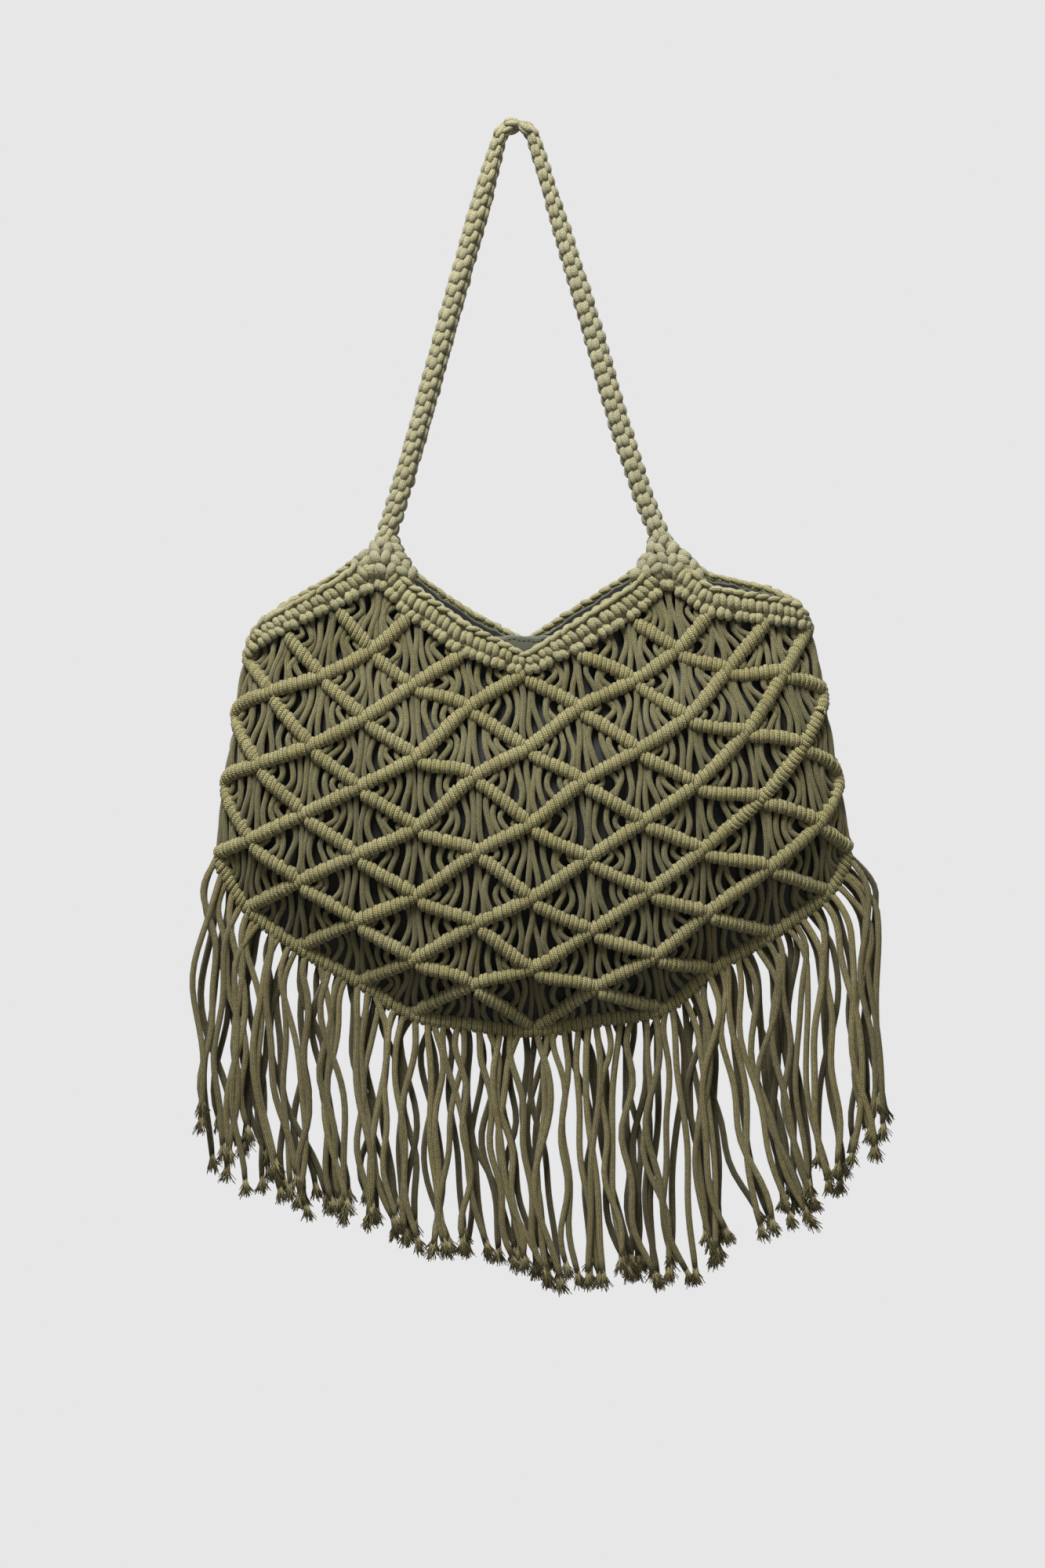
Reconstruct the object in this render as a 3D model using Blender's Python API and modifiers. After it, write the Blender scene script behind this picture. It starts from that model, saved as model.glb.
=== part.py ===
"""Shoulder bag knotted from cotton cord, with a cloth lining and a long cord fringe.

Units are metres, +Z is up and the front of the bag faces -Y. The origin is the underside of
the handle's top bend, where the bag hangs on a hook.
"""

import math
import random
from collections import namedtuple

import bmesh
import bpy

# The whole bag.
BODY_WIDTH = 0.370  # across the widest row of the net
BODY_HEIGHT = 0.276  # from the handle's feet down to the bottom seam
BODY_DEPTH = 0.062  # front to back at the belly, between the middles of the two nets
MOUTH_WIDTH = 0.036  # front to back across the middle of the mouth
SHOULDER_BULGE = 0.006  # how far each rim bows out between a handle foot and a side
BACK_LIFT = 0.006  # the back rim hangs this much higher than the front rim
SEAT = 0.0003  # clearance between pieces that touch

# The knotted net.
NET_WALL = 0.006
GAP_SHARE = 0.52  # width of each diamond's gap, as a share of the diamond's width
RIB_RELIEF = 0.0018  # how far the ribs stand proud of the edges of the gaps
SEAM_RIDGE = 0.88  # how far the folded wall reaches below the seam's line, as a share of the wall
CLOSE_FROM = 0.40  # share of the height below which front and back draw together

# The rim band along the mouth.
RIM_HEIGHT = 0.0203
RIM_THICKNESS = 0.009
RIM_EDGE_ROUND = 0.0018

# The handle, one thick knotted cord.
HANDLE_RISE = 0.2376  # from the handle's feet up to the underside of its top bend
HANDLE_THICKNESS = 0.0125
HANDLE_BEND = 0.010  # radius of the top bend, at the middle of the handle
HANDLE_KNOT_PITCH = 0.0076
HANDLE_WAIST = 0.86  # thickness between two knots, as a share of a knot's
HANDLE_FOOT_HEIGHT = 0.014
HANDLE_FOOT_FLARE = 1.45  # a foot's width, as a share of the handle's

# The lining, a cloth pouch inside the net.
LINING_WALL = 0.0012
LINING_SLOT = 0.0012  # clear space left inside the pouch where the rims pinch it
LINING_CLEARANCE = 0.0010
LINING_SIDE_INSET = 0.013  # from the side of the net to the pouch's side
LINING_BOTTOM_INSET = 0.013
LINING_DROP = 0.003  # the pouch's hem lies this far below the top of the rim
LINING_BRIDGE = 0.008  # the hem runs this far above the low middle of the rim
LINING_ROWS = 9

# The fringe, in locks of cord ends.
FRINGE_LENGTH = 0.150
FRINGE_THICKNESS = 0.0042
FRINGE_HEAD = 0.007
FRINGE_LOCKS = 24
LOCK_FILL = 0.62  # a lock's width, as a share of the spacing of the locks
FRINGE_SPREAD = 1.05  # width at the tips, as a share of the width at the head
FRINGE_SWAY = 0.004
FRINGE_RAGGED = 0.06  # the locks differ in length by this share either way

# One row for each column of rib crossings, from the left side of the bag to the right side.
# Levels count crossings down the net, and a rib goes half a level to the next column.
# Across: shares of BODY_WIDTH from the middle of the handle, with bow, a sideways curve.
# Drops: shares of BODY_HEIGHT below the handle's feet. Upper and lower: how far down the column
# its crossings have come after a third and two thirds of them, as a curve's handles.
# Rise: height of the rim above the net, as a share of RIM_HEIGHT. Lift: share of BACK_LIFT.
Column = namedtuple(
    "Column",
    "top_level bottom_level x_top x_bottom bow drop_top drop_bottom upper lower rise lift",
)
NET_COLUMNS = (
    Column(-0.5, 2.5, -0.426, -0.476, 0.000, 0.204, 0.625, 0.26, 0.65, 0.60, 0.0),
    Column(-1.0, 3.0, -0.354, -0.417, -0.012, 0.155, 0.737, 0.26, 0.68, 0.65, 0.3),
    Column(-1.5, 3.5, -0.277, -0.337, -0.013, 0.106, 0.819, 0.34, 0.66, 0.75, 0.5),
    Column(-2.0, 4.0, -0.209, -0.243, -0.013, 0.065, 0.892, 0.31, 0.68, 1.20, 0.5),
    Column(-1.5, 4.5, -0.164, -0.163, 0.013, 0.131, 0.959, 0.32, 0.72, 1.05, 1.0),
    Column(-1.0, 5.0, -0.082, -0.072, 0.019, 0.207, 0.980, 0.22, 0.83, 1.00, 1.0),
    Column(-0.5, 4.5, 0.013, 0.027, 0.004, 0.245, 0.993, 0.33, 0.70, 0.55, 1.0),
    Column(-1.0, 5.0, 0.092, 0.128, 0.000, 0.197, 0.971, 0.25, 0.88, 0.85, 1.0),
    Column(-1.5, 4.5, 0.180, 0.228, -0.008, 0.131, 0.948, 0.29, 0.73, 1.00, 1.0),
    Column(-2.0, 4.0, 0.232, 0.305, 0.008, 0.065, 0.865, 0.32, 0.69, 1.20, 0.5),
    Column(-1.5, 3.5, 0.296, 0.399, 0.024, 0.125, 0.788, 0.25, 0.64, 0.85, 1.0),
    Column(-1.0, 3.0, 0.386, 0.484, 0.012, 0.139, 0.701, 0.17, 0.69, 0.75, 0.7),
    Column(-0.5, 2.5, 0.461, 0.527, 0.000, 0.148, 0.615, 0.22, 0.74, 0.55, 0.0),
)
LAST = len(NET_COLUMNS) - 1
MIDDLE = LAST / 2
FOOT_COLUMNS = (3, 9)
FOOT_SPAN = 0.3  # half the flat that each handle foot stands on, in columns

FRONT, BACK = -1, 1
PINCH = LINING_SLOT / 2 + LINING_WALL + LINING_CLEARANCE + RIM_THICKNESS / 2
CORD_GREEN = (0.205, 0.195, 0.095, 1.0)
CLOTH_GREEN = (0.075, 0.085, 0.070, 1.0)


# Form of the body.
def column_at(c):
    """The table's row at column c, or the blend of the two rows beside it."""
    low = min(int(c), LAST - 1)
    share = c - low
    pair = zip(NET_COLUMNS[low], NET_COLUMNS[low + 1])
    return Column(*(a + (b - a) * share for a, b in pair))


def smooth_step(share):
    """Eases from 0 to 1."""
    share = min(max(share, 0.0), 1.0)
    return share * share * (3 - 2 * share)


def mouth_half(c):
    """Half the distance between the front and back net along the mouth."""
    from_middle = abs(c - MIDDLE)
    to_foot = (FOOT_COLUMNS[1] - FOOT_COLUMNS[0]) / 2
    if from_middle < to_foot:
        open_share = math.cos(math.pi * from_middle / (2 * to_foot)) ** 2
        return PINCH + (MOUTH_WIDTH / 2 - PINCH) * open_share
    share = min((from_middle - to_foot) / (MIDDLE - to_foot), 1.0)
    bulge = PINCH + SHOULDER_BULGE * math.sin(math.pi * share)
    return bulge * math.sqrt(1 - share**8)


def half_depth(c, fall):
    """Half the depth of the net at column c, fall being 0 at the mouth and 1 at the seam."""
    across = min(abs(c - MIDDLE) / MIDDLE, 1.0)
    belly = BODY_DEPTH / 2 * math.sqrt(1 - across**2)
    eased = smooth_step(fall / CLOSE_FROM)
    mixed = mouth_half(c) * (1 - eased) + belly * eased
    closing = min(max((fall - CLOSE_FROM) / (1 - CLOSE_FROM), 0.0), 1.0)
    return mixed * math.sqrt(1 - closing**2)


def level_fall(column, level):
    """How far down its column a crossing lies, from 0 to 1."""
    share = (level - column.top_level) / (column.bottom_level - column.top_level)
    rest = 1 - share
    return 3 * share * rest * (rest * column.upper + share * column.lower) + share**3


def net_x(column, fall):
    """Sideways place of a column at that fall."""
    bowed = column.bow * 4 * fall * (1 - fall)
    return BODY_WIDTH * (column.x_top + (column.x_bottom - column.x_top) * fall + bowed)


def net_z(column, fall, side):
    """Height of a column at that fall."""
    drop = column.drop_top + (column.drop_bottom - column.drop_top) * fall
    lift = BACK_LIFT * column.lift * (1 - smooth_step(fall)) if side == BACK else 0.0
    return -HANDLE_RISE - BODY_HEIGHT * drop + lift


def on_mouth(c, level):
    """Whether a point of a rib lies on the net's top edge."""
    return level <= column_at(c).top_level


def on_seam(c, level):
    """Whether a point of a rib lies on the bottom seam."""
    return level >= column_at(c).bottom_level


def surface(c, level, side):
    """A point of the net's middle surface, on the front or the back."""
    low = min(int(c), LAST - 1)
    share = c - low
    ends = []
    for column in NET_COLUMNS[low : low + 2]:
        fall = level_fall(column, level)
        if on_mouth(c, level) or on_seam(c, level):
            fall = 1.0 if on_seam(c, level) else 0.0
        ends.append((net_x(column, fall), net_z(column, fall, side), fall))
    x, z, fall = (a + (b - a) * share for a, b in zip(*ends))
    if c in (0, LAST):
        return x, 0.0, net_z(column_at(c), fall, FRONT)
    depth = 0.0 if on_seam(c, level) else half_depth(c, fall)
    return x, side * depth, z


def boundary_point(c, side):
    """A point of the net's top edge, straight from column to column."""
    low = min(int(c), LAST - 1)
    share = c - low
    places = []
    for end in (low, low + 1):
        column = NET_COLUMNS[end]
        places.append((net_x(column, 0), net_z(column, 0, side)))
    (x0, z0), (x1, z1) = places
    return x0 + (x1 - x0) * share, z0 + (z1 - z0) * share


def seam_point(c):
    """A point of the bottom seam, straight from column to column."""
    low = min(int(c), LAST - 1)
    share = c - low
    first, second = NET_COLUMNS[low], NET_COLUMNS[low + 1]
    x = net_x(first, 1) * (1 - share) + net_x(second, 1) * share
    z = net_z(first, 1, FRONT) * (1 - share) + net_z(second, 1, FRONT) * share
    return x, z


def rim_top(c, side):
    """Height of the rim's top edge, cut level where a handle foot stands."""
    z = boundary_point(c, side)[1] + RIM_HEIGHT * column_at(c).rise
    return min(z, -HANDLE_RISE)


# Making objects.
def material(name, colour, roughness):
    """A plain finish for one kind of cord or cloth."""
    made = bpy.data.materials.new(name)
    made.use_nodes = True
    shader = made.node_tree.nodes["Principled BSDF"]
    shader.inputs["Base Color"].default_value = colour
    shader.inputs["Roughness"].default_value = roughness
    shader.inputs["Metallic"].default_value = 0.0
    return made


def add_mesh(collection, name, points, faces, finish):
    """A mesh object from points and faces, with its faces turned outwards."""
    mesh = bpy.data.meshes.new(name)
    mesh.from_pydata(points, [], faces)
    work = bmesh.new()
    work.from_mesh(mesh)
    bmesh.ops.recalc_face_normals(work, faces=work.faces)
    work.to_mesh(mesh)
    work.free()
    mesh.materials.append(finish)
    thing = bpy.data.objects.new(name, mesh)
    collection.objects.link(thing)
    return thing


# The net.
class NetMesh:
    """Collects the net's points, so that neighbouring diamonds share them."""

    def __init__(self):
        self.points = []
        self.index = {}
        self.faces = []

    def place(self, key, point):
        """The number of a named point, added at its first use."""
        if key not in self.index:
            self.index[key] = len(self.points)
            self.points.append(point)
        return self.index[key]

    def rib_point(self, c, level, side):
        """A point of a rib, shared by front and back on the sides and along the seam."""
        joined = c in (0, LAST) or on_seam(c, level)
        where = 0 if joined else side
        return self.place((c, level, where), surface(c, level, side))

    def gap_point(self, c, level, side, centre):
        """A corner of a gap, pressed in from the ribs."""
        x, y, z = surface(c, level, side)
        inward = RIB_RELIEF * (1 if x < 0 else -1) if centre in (0, LAST) else 0.0
        return self.place((c, level, side, centre), (x + inward, y - side * RIB_RELIEF, z))

    def add_diamond(self, centre, top):
        """One diamond on each side of the bag: four lengths of rib round a gap."""
        half = GAP_SHARE / 2
        for side in (FRONT, BACK):
            ribs, gap = [], []
            for turn in range(8):
                across, down = DIAMOND[turn]
                ribs.append(self.rib_point(centre + across, top + 0.5 + down / 2, side))
            for across, down in DIAMOND[::2]:
                c, level = centre + 2 * half * across, top + 0.5 + half * down
                gap.append(self.gap_point(c, level, side, centre))
            self.add_faces(ribs, gap, side)

    def add_side_diamond(self, centre, top):
        """One diamond folded round a side of the bag, half in front and half behind."""
        inward = 1 if centre == 0 else -1
        half = GAP_SHARE / 2
        ribs, gap = [], []
        for across, down in DIAMOND:
            side = FRONT if across * inward > 0 else BACK
            ribs.append(self.rib_point(centre + abs(across) * inward, top + 0.5 + down / 2, side))
        for across, down in DIAMOND[::2]:
            side = FRONT if across * inward > 0 else BACK
            c, level = centre + 2 * half * abs(across) * inward, top + 0.5 + half * down
            gap.append(self.gap_point(c, level, side, centre))
        self.add_faces(ribs, gap, FRONT)

    def add_faces(self, ribs, gap, side):
        """The triangles between a diamond's ribs and its gap."""
        for turn in range(4):
            corner, middle, following = ribs[2 * turn], ribs[2 * turn + 1], ribs[(2 * turn + 2) % 8]
            here, there = gap[turn], gap[(turn + 1) % 4]
            for face in ((here, corner, middle), (here, middle, there), (there, middle, following)):
                self.faces.append(face if side == FRONT else face[::-1])


# Round a diamond from its left corner by way of its foot: columns across, half levels down.
DIAMOND = ((-1, 0), (-0.5, 0.5), (0, 1), (0.5, 0.5), (1, 0), (0.5, -0.5), (0, -1), (-0.5, -0.5))


def make_net(collection, finish):
    """The pierced wall of the bag, one piece round the front, the sides and the back."""
    net = NetMesh()
    for c, column in enumerate(NET_COLUMNS):
        count = round(column.bottom_level - column.top_level)
        for top in (column.top_level + n for n in range(count)):
            if c in (0, LAST):
                net.add_side_diamond(c, top)
            else:
                net.add_diamond(c, top)
    thing = add_mesh(collection, "net", net.points, net.faces, finish)
    wall = thing.modifiers.new("thickness", "SOLIDIFY")
    wall.thickness = NET_WALL
    wall.offset = 0.0
    wall.use_even_offset = True
    return thing


# The rims.
def rim_stations():
    """Columns at which the rim is built, closer together at the handle's feet."""
    stations = {n / 2 for n in range(2 * LAST + 1)}
    for foot in FOOT_COLUMNS:
        stations -= {foot - 0.5, foot + 0.5}
        stations |= {foot - FOOT_SPAN, foot + FOOT_SPAN}
        stations |= {foot - 2 * FOOT_SPAN, foot + 2 * FOOT_SPAN}
    return sorted(stations)


def pinch(c):
    """The least half distance between the rims: they meet at the sides, beyond the lining."""
    meeting = (RIM_THICKNESS + SEAT) / 2
    from_side = min(c, LAST - c)
    return meeting + (PINCH - meeting) * min(from_side / 0.5, 1.0)


def boundary_slope(c):
    """The steepest slope of the net's top edge beside column c, as rise over run."""
    slopes = []
    for low in {max(math.ceil(c) - 1, 0), min(math.floor(c), LAST - 1)}:
        x0, z0 = boundary_point(low, FRONT)
        x1, z1 = boundary_point(low + 1, FRONT)
        slopes.append(abs(z1 - z0) / (x1 - x0))
    return max(slopes)


def clear_of_edge(c):
    """How far above the net's sloping edge the rim clears it, with the lean of the net's wall."""
    lean = RIB_RELIEF * (1.0 if c in (0, LAST) else 0.5)
    return (SEAT + lean) * math.sqrt(1 + boundary_slope(c) ** 2)


def make_rim(collection, name, side, finish):
    """The band of hitches that edges one side of the mouth."""
    points, faces = [], []
    for n, c in enumerate(rim_stations()):
        x, z = boundary_point(c, side)
        y = side * max(half_depth(c, 0), pinch(c))
        points += [(x, y, z + clear_of_edge(c)), (x, y, rim_top(c, side))]
        if n:
            faces.append((2 * n - 2, 2 * n, 2 * n + 1, 2 * n - 1))
    thing = add_mesh(collection, name, points, faces, finish)
    wall = thing.modifiers.new("thickness", "SOLIDIFY")
    wall.thickness = RIM_THICKNESS
    wall.offset = 0.0
    edge = thing.modifiers.new("round edges", "BEVEL")
    edge.width = RIM_EDGE_ROUND
    edge.segments = 1
    edge.limit_method = "ANGLE"
    edge.angle_limit = math.radians(60)
    return thing


# The handle.
def handle_path():
    """The handle's middle line and its width at each point, from the left foot to the right."""
    top_centre = HANDLE_THICKNESS / 2 - HANDLE_BEND
    line = []
    for foot, turn in zip(FOOT_COLUMNS, (-1, 1)):
        x = boundary_point(foot, FRONT)[0]
        z = -HANDLE_RISE + SEAT
        run, rise = abs(x), top_centre - z - HANDLE_FOOT_HEIGHT
        reach = math.hypot(run, rise)
        lean = math.asin(run / reach) - math.asin(HANDLE_BEND / reach)
        touch = (turn * HANDLE_BEND * math.cos(lean), top_centre + HANDLE_BEND * math.sin(lean))
        base = (x, z + HANDLE_FOOT_HEIGHT)
        steps = round(math.dist(base, touch) / (HANDLE_KNOT_PITCH / 2))
        leg = [(x, z, HANDLE_FOOT_FLARE)]
        for n in range(steps + 1):
            share = n / steps
            width = 1.0 if n % 2 else HANDLE_WAIST
            leg.append(
                (base[0] + (touch[0] - base[0]) * share, base[1] + (touch[1] - base[1]) * share, width)
            )
        line.append((leg, lean))
    (left, left_lean), (right, right_lean) = line
    sweep = math.pi - left_lean - right_lean
    steps = max(round(HANDLE_BEND * sweep / (HANDLE_KNOT_PITCH / 2)), 6)
    bend = []
    for n in range(1, steps):
        angle = math.pi - left_lean - sweep * n / steps
        x = HANDLE_BEND * math.cos(angle)
        bend.append((x, top_centre + HANDLE_BEND * math.sin(angle), 1.0 if n % 2 else HANDLE_WAIST))
    return left + bend + right[::-1]


def make_handle(collection, finish):
    """The handle, thick at each knot and thinner between them."""
    curve = bpy.data.curves.new("handle", "CURVE")
    curve.dimensions = "3D"
    curve.bevel_depth = HANDLE_THICKNESS / 2
    curve.bevel_resolution = 1
    curve.use_fill_caps = True
    spline = curve.splines.new("POLY")
    path = handle_path()
    spline.points.add(len(path) - 1)
    for point, (x, z, width) in zip(spline.points, path):
        point.co = (x, 0.0, z, 1.0)
        point.radius = width
    curve.materials.append(finish)
    thing = bpy.data.objects.new("handle", curve)
    collection.objects.link(thing)
    return thing


# The lining.
def lining_hem(c, side):
    """Height of the lining's hem at column c."""
    bridge = max(0.0, 1 - abs(c - MIDDLE)) * LINING_BRIDGE
    feet = min(abs(c - foot) for foot in FOOT_COLUMNS)
    below_foot = LINING_DROP * max(0.0, 1 - feet)
    return rim_top(c, side) - LINING_DROP - below_foot + bridge


def depth_slope(c, fall):
    """How steeply the net's depth changes at that place, across and down together."""
    step = 0.02
    column = column_at(c)
    height = BODY_HEIGHT * (column.drop_bottom - column.drop_top)
    low, high = max(fall - step, 0.0), min(fall + step, 1.0)
    down = (half_depth(c, high) - half_depth(c, low)) / ((high - low) * height) if high > low else 0.0
    left, right = c - step, c + step
    width = net_x(column_at(right), fall) - net_x(column_at(left), fall)
    across = (half_depth(right, fall) - half_depth(left, fall)) / width
    return math.hypot(across, down)


def lining_depth(c, fall):
    """Half the depth of the pouch, clear of the net and the rims all over."""
    inset = max(RIM_THICKNESS, NET_WALL + 2 * RIB_RELIEF) / 2 + LINING_CLEARANCE
    fall = min(max(fall, 0.0), 1.0)
    room = half_depth(c, fall) - inset * math.hypot(1.0, depth_slope(c, fall))
    return max(room, LINING_WALL + LINING_SLOT / 2)


def lining_stations():
    """Columns at which the pouch is built: its own two sides, and the rim's between them."""
    first, second = NET_COLUMNS[0], NET_COLUMNS[1]
    left = LINING_SIDE_INSET / (BODY_WIDTH * (second.x_top - first.x_top))
    first, second = NET_COLUMNS[LAST - 1], NET_COLUMNS[LAST]
    right = LAST - LINING_SIDE_INSET / (BODY_WIDTH * (second.x_top - first.x_top))
    between = [c for c in rim_stations() if left + 0.1 < c < right - 0.1]
    return [left, *between, right]


def lining_point(c, down, side):
    """A point of the pouch, down being 0 at the hem and 1 at its own seam."""
    column = column_at(c)
    hem, seam = lining_hem(c, side), seam_point(c)[1] + LINING_BOTTOM_INSET
    z = hem + (seam - hem) * down
    top, bottom = net_z(column, 0, side), net_z(column, 1, side)
    fall = (top - z) / (top - bottom)
    return net_x(column, max(fall, 0.0)), side * lining_depth(c, fall), z


def make_lining(collection, finish):
    """The cloth pouch: a front and a back sheet joined at the sides and along the bottom."""
    points, index, faces = [], {}, []
    stations = lining_stations()
    end = len(stations) - 1

    def corner(i, j, side):
        """The number of the pouch's point in column i and row j, added at its first use."""
        joined = i in (0, end) or j == LINING_ROWS
        key = (i, j, 0 if joined else side)
        if key not in index:
            down = (1 - math.cos(math.pi * j / LINING_ROWS)) / 2
            x, y, z = lining_point(stations[i], down, FRONT if joined else side)
            index[key] = len(points)
            points.append((x, 0.0 if joined else y, z))
        return index[key]

    for side in (FRONT, BACK):
        for i in range(end):
            for j in range(LINING_ROWS):
                around = ((i, j), (i, j + 1), (i + 1, j + 1), (i + 1, j))
                faces.append([corner(*place, side) for place in around])
    thing = add_mesh(collection, "lining", points, faces, finish)
    wall = thing.modifiers.new("cloth", "SOLIDIFY")
    wall.thickness = LINING_WALL
    wall.offset = -1.0
    return thing


# The fringe.
def seam_slope(c):
    """Slope of the bottom seam at column c, as rise over run."""
    low = min(int(c), LAST - 1)
    x0, z0 = seam_point(low)
    x1, z1 = seam_point(low + 1)
    return (z1 - z0) / (x1 - x0)


def clear_of_seam(c):
    """How far below the seam's line the fringe starts, clear of the ridge that the wall makes."""
    return (NET_WALL * SEAM_RIDGE + SEAT) * math.sqrt(1 + seam_slope(c) ** 2)


def make_fringe(collection, name, side, seed, finish):
    """Locks of cord ends hanging from one side of the bottom seam."""
    rng = random.Random(seed)
    points, faces = [], []
    y0 = side * (FRINGE_THICKNESS + SEAT) / 2
    for lock in range(FRINGE_LOCKS):
        spans = []
        for end in (0.5 - LOCK_FILL / 2, 0.5 + LOCK_FILL / 2):
            spans.append((lock + end) / FRINGE_LOCKS * LAST)
        length = FRINGE_LENGTH * (1 + rng.uniform(-FRINGE_RAGGED, FRINGE_RAGGED))
        sway = rng.uniform(-FRINGE_SWAY, FRINGE_SWAY)
        lean = rng.uniform(0.2, 1.0) * FRINGE_SWAY
        first = len(points)
        for down in (0.0, FRINGE_HEAD / length, 0.3, 0.65, 1.0):
            for c in spans:
                x, z = seam_point(c)
                hang = z - clear_of_seam(c) - length * down
                x += (FRINGE_SPREAD - 1) * x * down + sway * math.sin(math.pi * down)
                points.append((x, y0 + side * lean * down**2, hang))
        for row in range(4):
            a = first + 2 * row
            faces.append((a, a + 1, a + 3, a + 2))
        if lock:
            faces.append((first - 9, first, first + 2, first - 7))
    thing = add_mesh(collection, name, points, faces, finish)
    wall = thing.modifiers.new("thickness", "SOLIDIFY")
    wall.thickness = FRINGE_THICKNESS
    wall.offset = 0.0
    return thing


def main():
    """Builds the bag in a new collection."""
    for thing in list(bpy.data.objects):
        bpy.data.objects.remove(thing, do_unlink=True)
    bag = bpy.data.collections.new("shoulder_bag")
    bpy.context.scene.collection.children.link(bag)
    net_cord = material("net_cord", CORD_GREEN, 0.9)
    rim_cord = material("rim_cord", CORD_GREEN, 0.9)
    handle_cord = material("handle_cord", CORD_GREEN, 0.88)
    lining_cloth = material("lining_cloth", CLOTH_GREEN, 0.85)
    fringe_cord = material("fringe_cord", CORD_GREEN, 0.92)
    make_net(bag, net_cord)
    make_rim(bag, "rim_front", FRONT, rim_cord)
    make_rim(bag, "rim_back", BACK, rim_cord)
    make_handle(bag, handle_cord)
    make_lining(bag, lining_cloth)
    make_fringe(bag, "fringe_front", FRONT, 3, fringe_cord)
    make_fringe(bag, "fringe_back", BACK, 8, fringe_cord)


main()
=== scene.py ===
"""Looks of a shoulder bag knotted from cotton cord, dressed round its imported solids.

Units are metres, +Z is up and the front of the bag faces -Y. The origin is the underside of the
handle's top bend, where the bag hangs.
"""

from __future__ import annotations

import logging
import math
import random
from collections.abc import Iterator
from dataclasses import dataclass
from enum import IntEnum
from typing import Any, NamedTuple

import bpy
import numpy as np
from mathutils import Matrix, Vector

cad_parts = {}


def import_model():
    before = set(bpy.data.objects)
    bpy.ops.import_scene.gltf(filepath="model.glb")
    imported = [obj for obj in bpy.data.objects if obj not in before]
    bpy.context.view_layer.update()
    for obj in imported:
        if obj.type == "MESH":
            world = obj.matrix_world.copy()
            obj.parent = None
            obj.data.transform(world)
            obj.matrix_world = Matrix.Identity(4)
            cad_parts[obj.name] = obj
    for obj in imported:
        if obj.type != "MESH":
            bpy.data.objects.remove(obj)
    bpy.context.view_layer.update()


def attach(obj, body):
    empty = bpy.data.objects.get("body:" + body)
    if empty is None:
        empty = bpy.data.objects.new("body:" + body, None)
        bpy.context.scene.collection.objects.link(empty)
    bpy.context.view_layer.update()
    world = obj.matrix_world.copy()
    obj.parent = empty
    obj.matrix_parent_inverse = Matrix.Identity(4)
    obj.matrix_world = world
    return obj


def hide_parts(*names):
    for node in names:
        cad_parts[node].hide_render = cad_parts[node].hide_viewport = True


LOG = logging.getLogger("shoulder_bag")
BODY = "root"
UP = np.array((0.0, 0.0, 1.0))

# The braid of the cord. Its stitches can't be measured in the photo and are taken as about 0.7 mm wide
# and 1 mm long. That is too fine to show, so both are drawn coarser.
BRAID_COLUMN = 0.00115
BRAID_STITCH = 0.0015


class Side(IntEnum):
    """The front or the back of the bag, as the sign of Y."""

    FRONT = -1
    BACK = 1


class Slant(IntEnum):
    """How a rib runs, as seen from outside the bag."""

    RISING = 1
    FALLING = -1


class Column(NamedTuple):
    """One column of rib crossings, from the mouth down to the seam."""

    top_level: float
    bottom_level: float
    x_top: float
    x_bottom: float
    bow: float
    drop_top: float
    drop_bottom: float
    upper: float
    lower: float
    rise: float
    lift: float


# One row for each column of crossings, from the left side of the bag to the right side. Levels
# count crossings down the net. Across: shares of the body's width from the middle of the handle,
# with bow, a sideways curve. Drops: shares of the body's height below the handle's feet. Upper and
# lower: how far down the column its crossings have come, as a curve's handles. Rise: height of the
# rim, as a share of rim_height. Lift: share of back_lift.
NET_COLUMNS = (
    Column(-0.5, 2.5, -0.426, -0.476, 0.000, 0.204, 0.625, 0.26, 0.65, 0.60, 0.0),
    Column(-1.0, 3.0, -0.354, -0.417, -0.012, 0.155, 0.737, 0.26, 0.68, 0.65, 0.3),
    Column(-1.5, 3.5, -0.277, -0.337, -0.013, 0.106, 0.819, 0.34, 0.66, 0.75, 0.5),
    Column(-2.0, 4.0, -0.209, -0.243, -0.013, 0.065, 0.892, 0.31, 0.68, 1.20, 0.5),
    Column(-1.5, 4.5, -0.164, -0.163, 0.013, 0.131, 0.959, 0.32, 0.72, 1.05, 1.0),
    Column(-1.0, 5.0, -0.082, -0.072, 0.019, 0.207, 0.980, 0.22, 0.83, 1.00, 1.0),
    Column(-0.5, 4.5, 0.013, 0.027, 0.004, 0.245, 0.993, 0.33, 0.70, 0.55, 1.0),
    Column(-1.0, 5.0, 0.092, 0.128, 0.000, 0.197, 0.971, 0.25, 0.88, 0.85, 1.0),
    Column(-1.5, 4.5, 0.180, 0.228, -0.008, 0.131, 0.948, 0.29, 0.73, 1.00, 1.0),
    Column(-2.0, 4.0, 0.232, 0.305, 0.008, 0.065, 0.865, 0.32, 0.69, 1.20, 0.5),
    Column(-1.5, 3.5, 0.296, 0.399, 0.024, 0.125, 0.788, 0.25, 0.64, 0.85, 1.0),
    Column(-1.0, 3.0, 0.386, 0.484, 0.012, 0.139, 0.701, 0.17, 0.69, 0.75, 0.7),
    Column(-0.5, 2.5, 0.461, 0.527, 0.000, 0.148, 0.615, 0.22, 0.74, 0.55, 0.0),
)
LAST = len(NET_COLUMNS) - 1
MIDDLE = LAST / 2
FOOT_COLUMNS = (3, 9)

State = tuple[int, float, int]


# Curves and frames.
def smooth_step(share: float) -> float:
    """Eases from 0 to 1."""
    share = min(max(share, 0.0), 1.0)
    return share * share * (3 - 2 * share)


def unit(rows: np.ndarray) -> np.ndarray:
    """Rows scaled to length 1."""
    return rows / np.maximum(np.linalg.norm(rows, axis=-1, keepdims=True), 1e-12)


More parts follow.
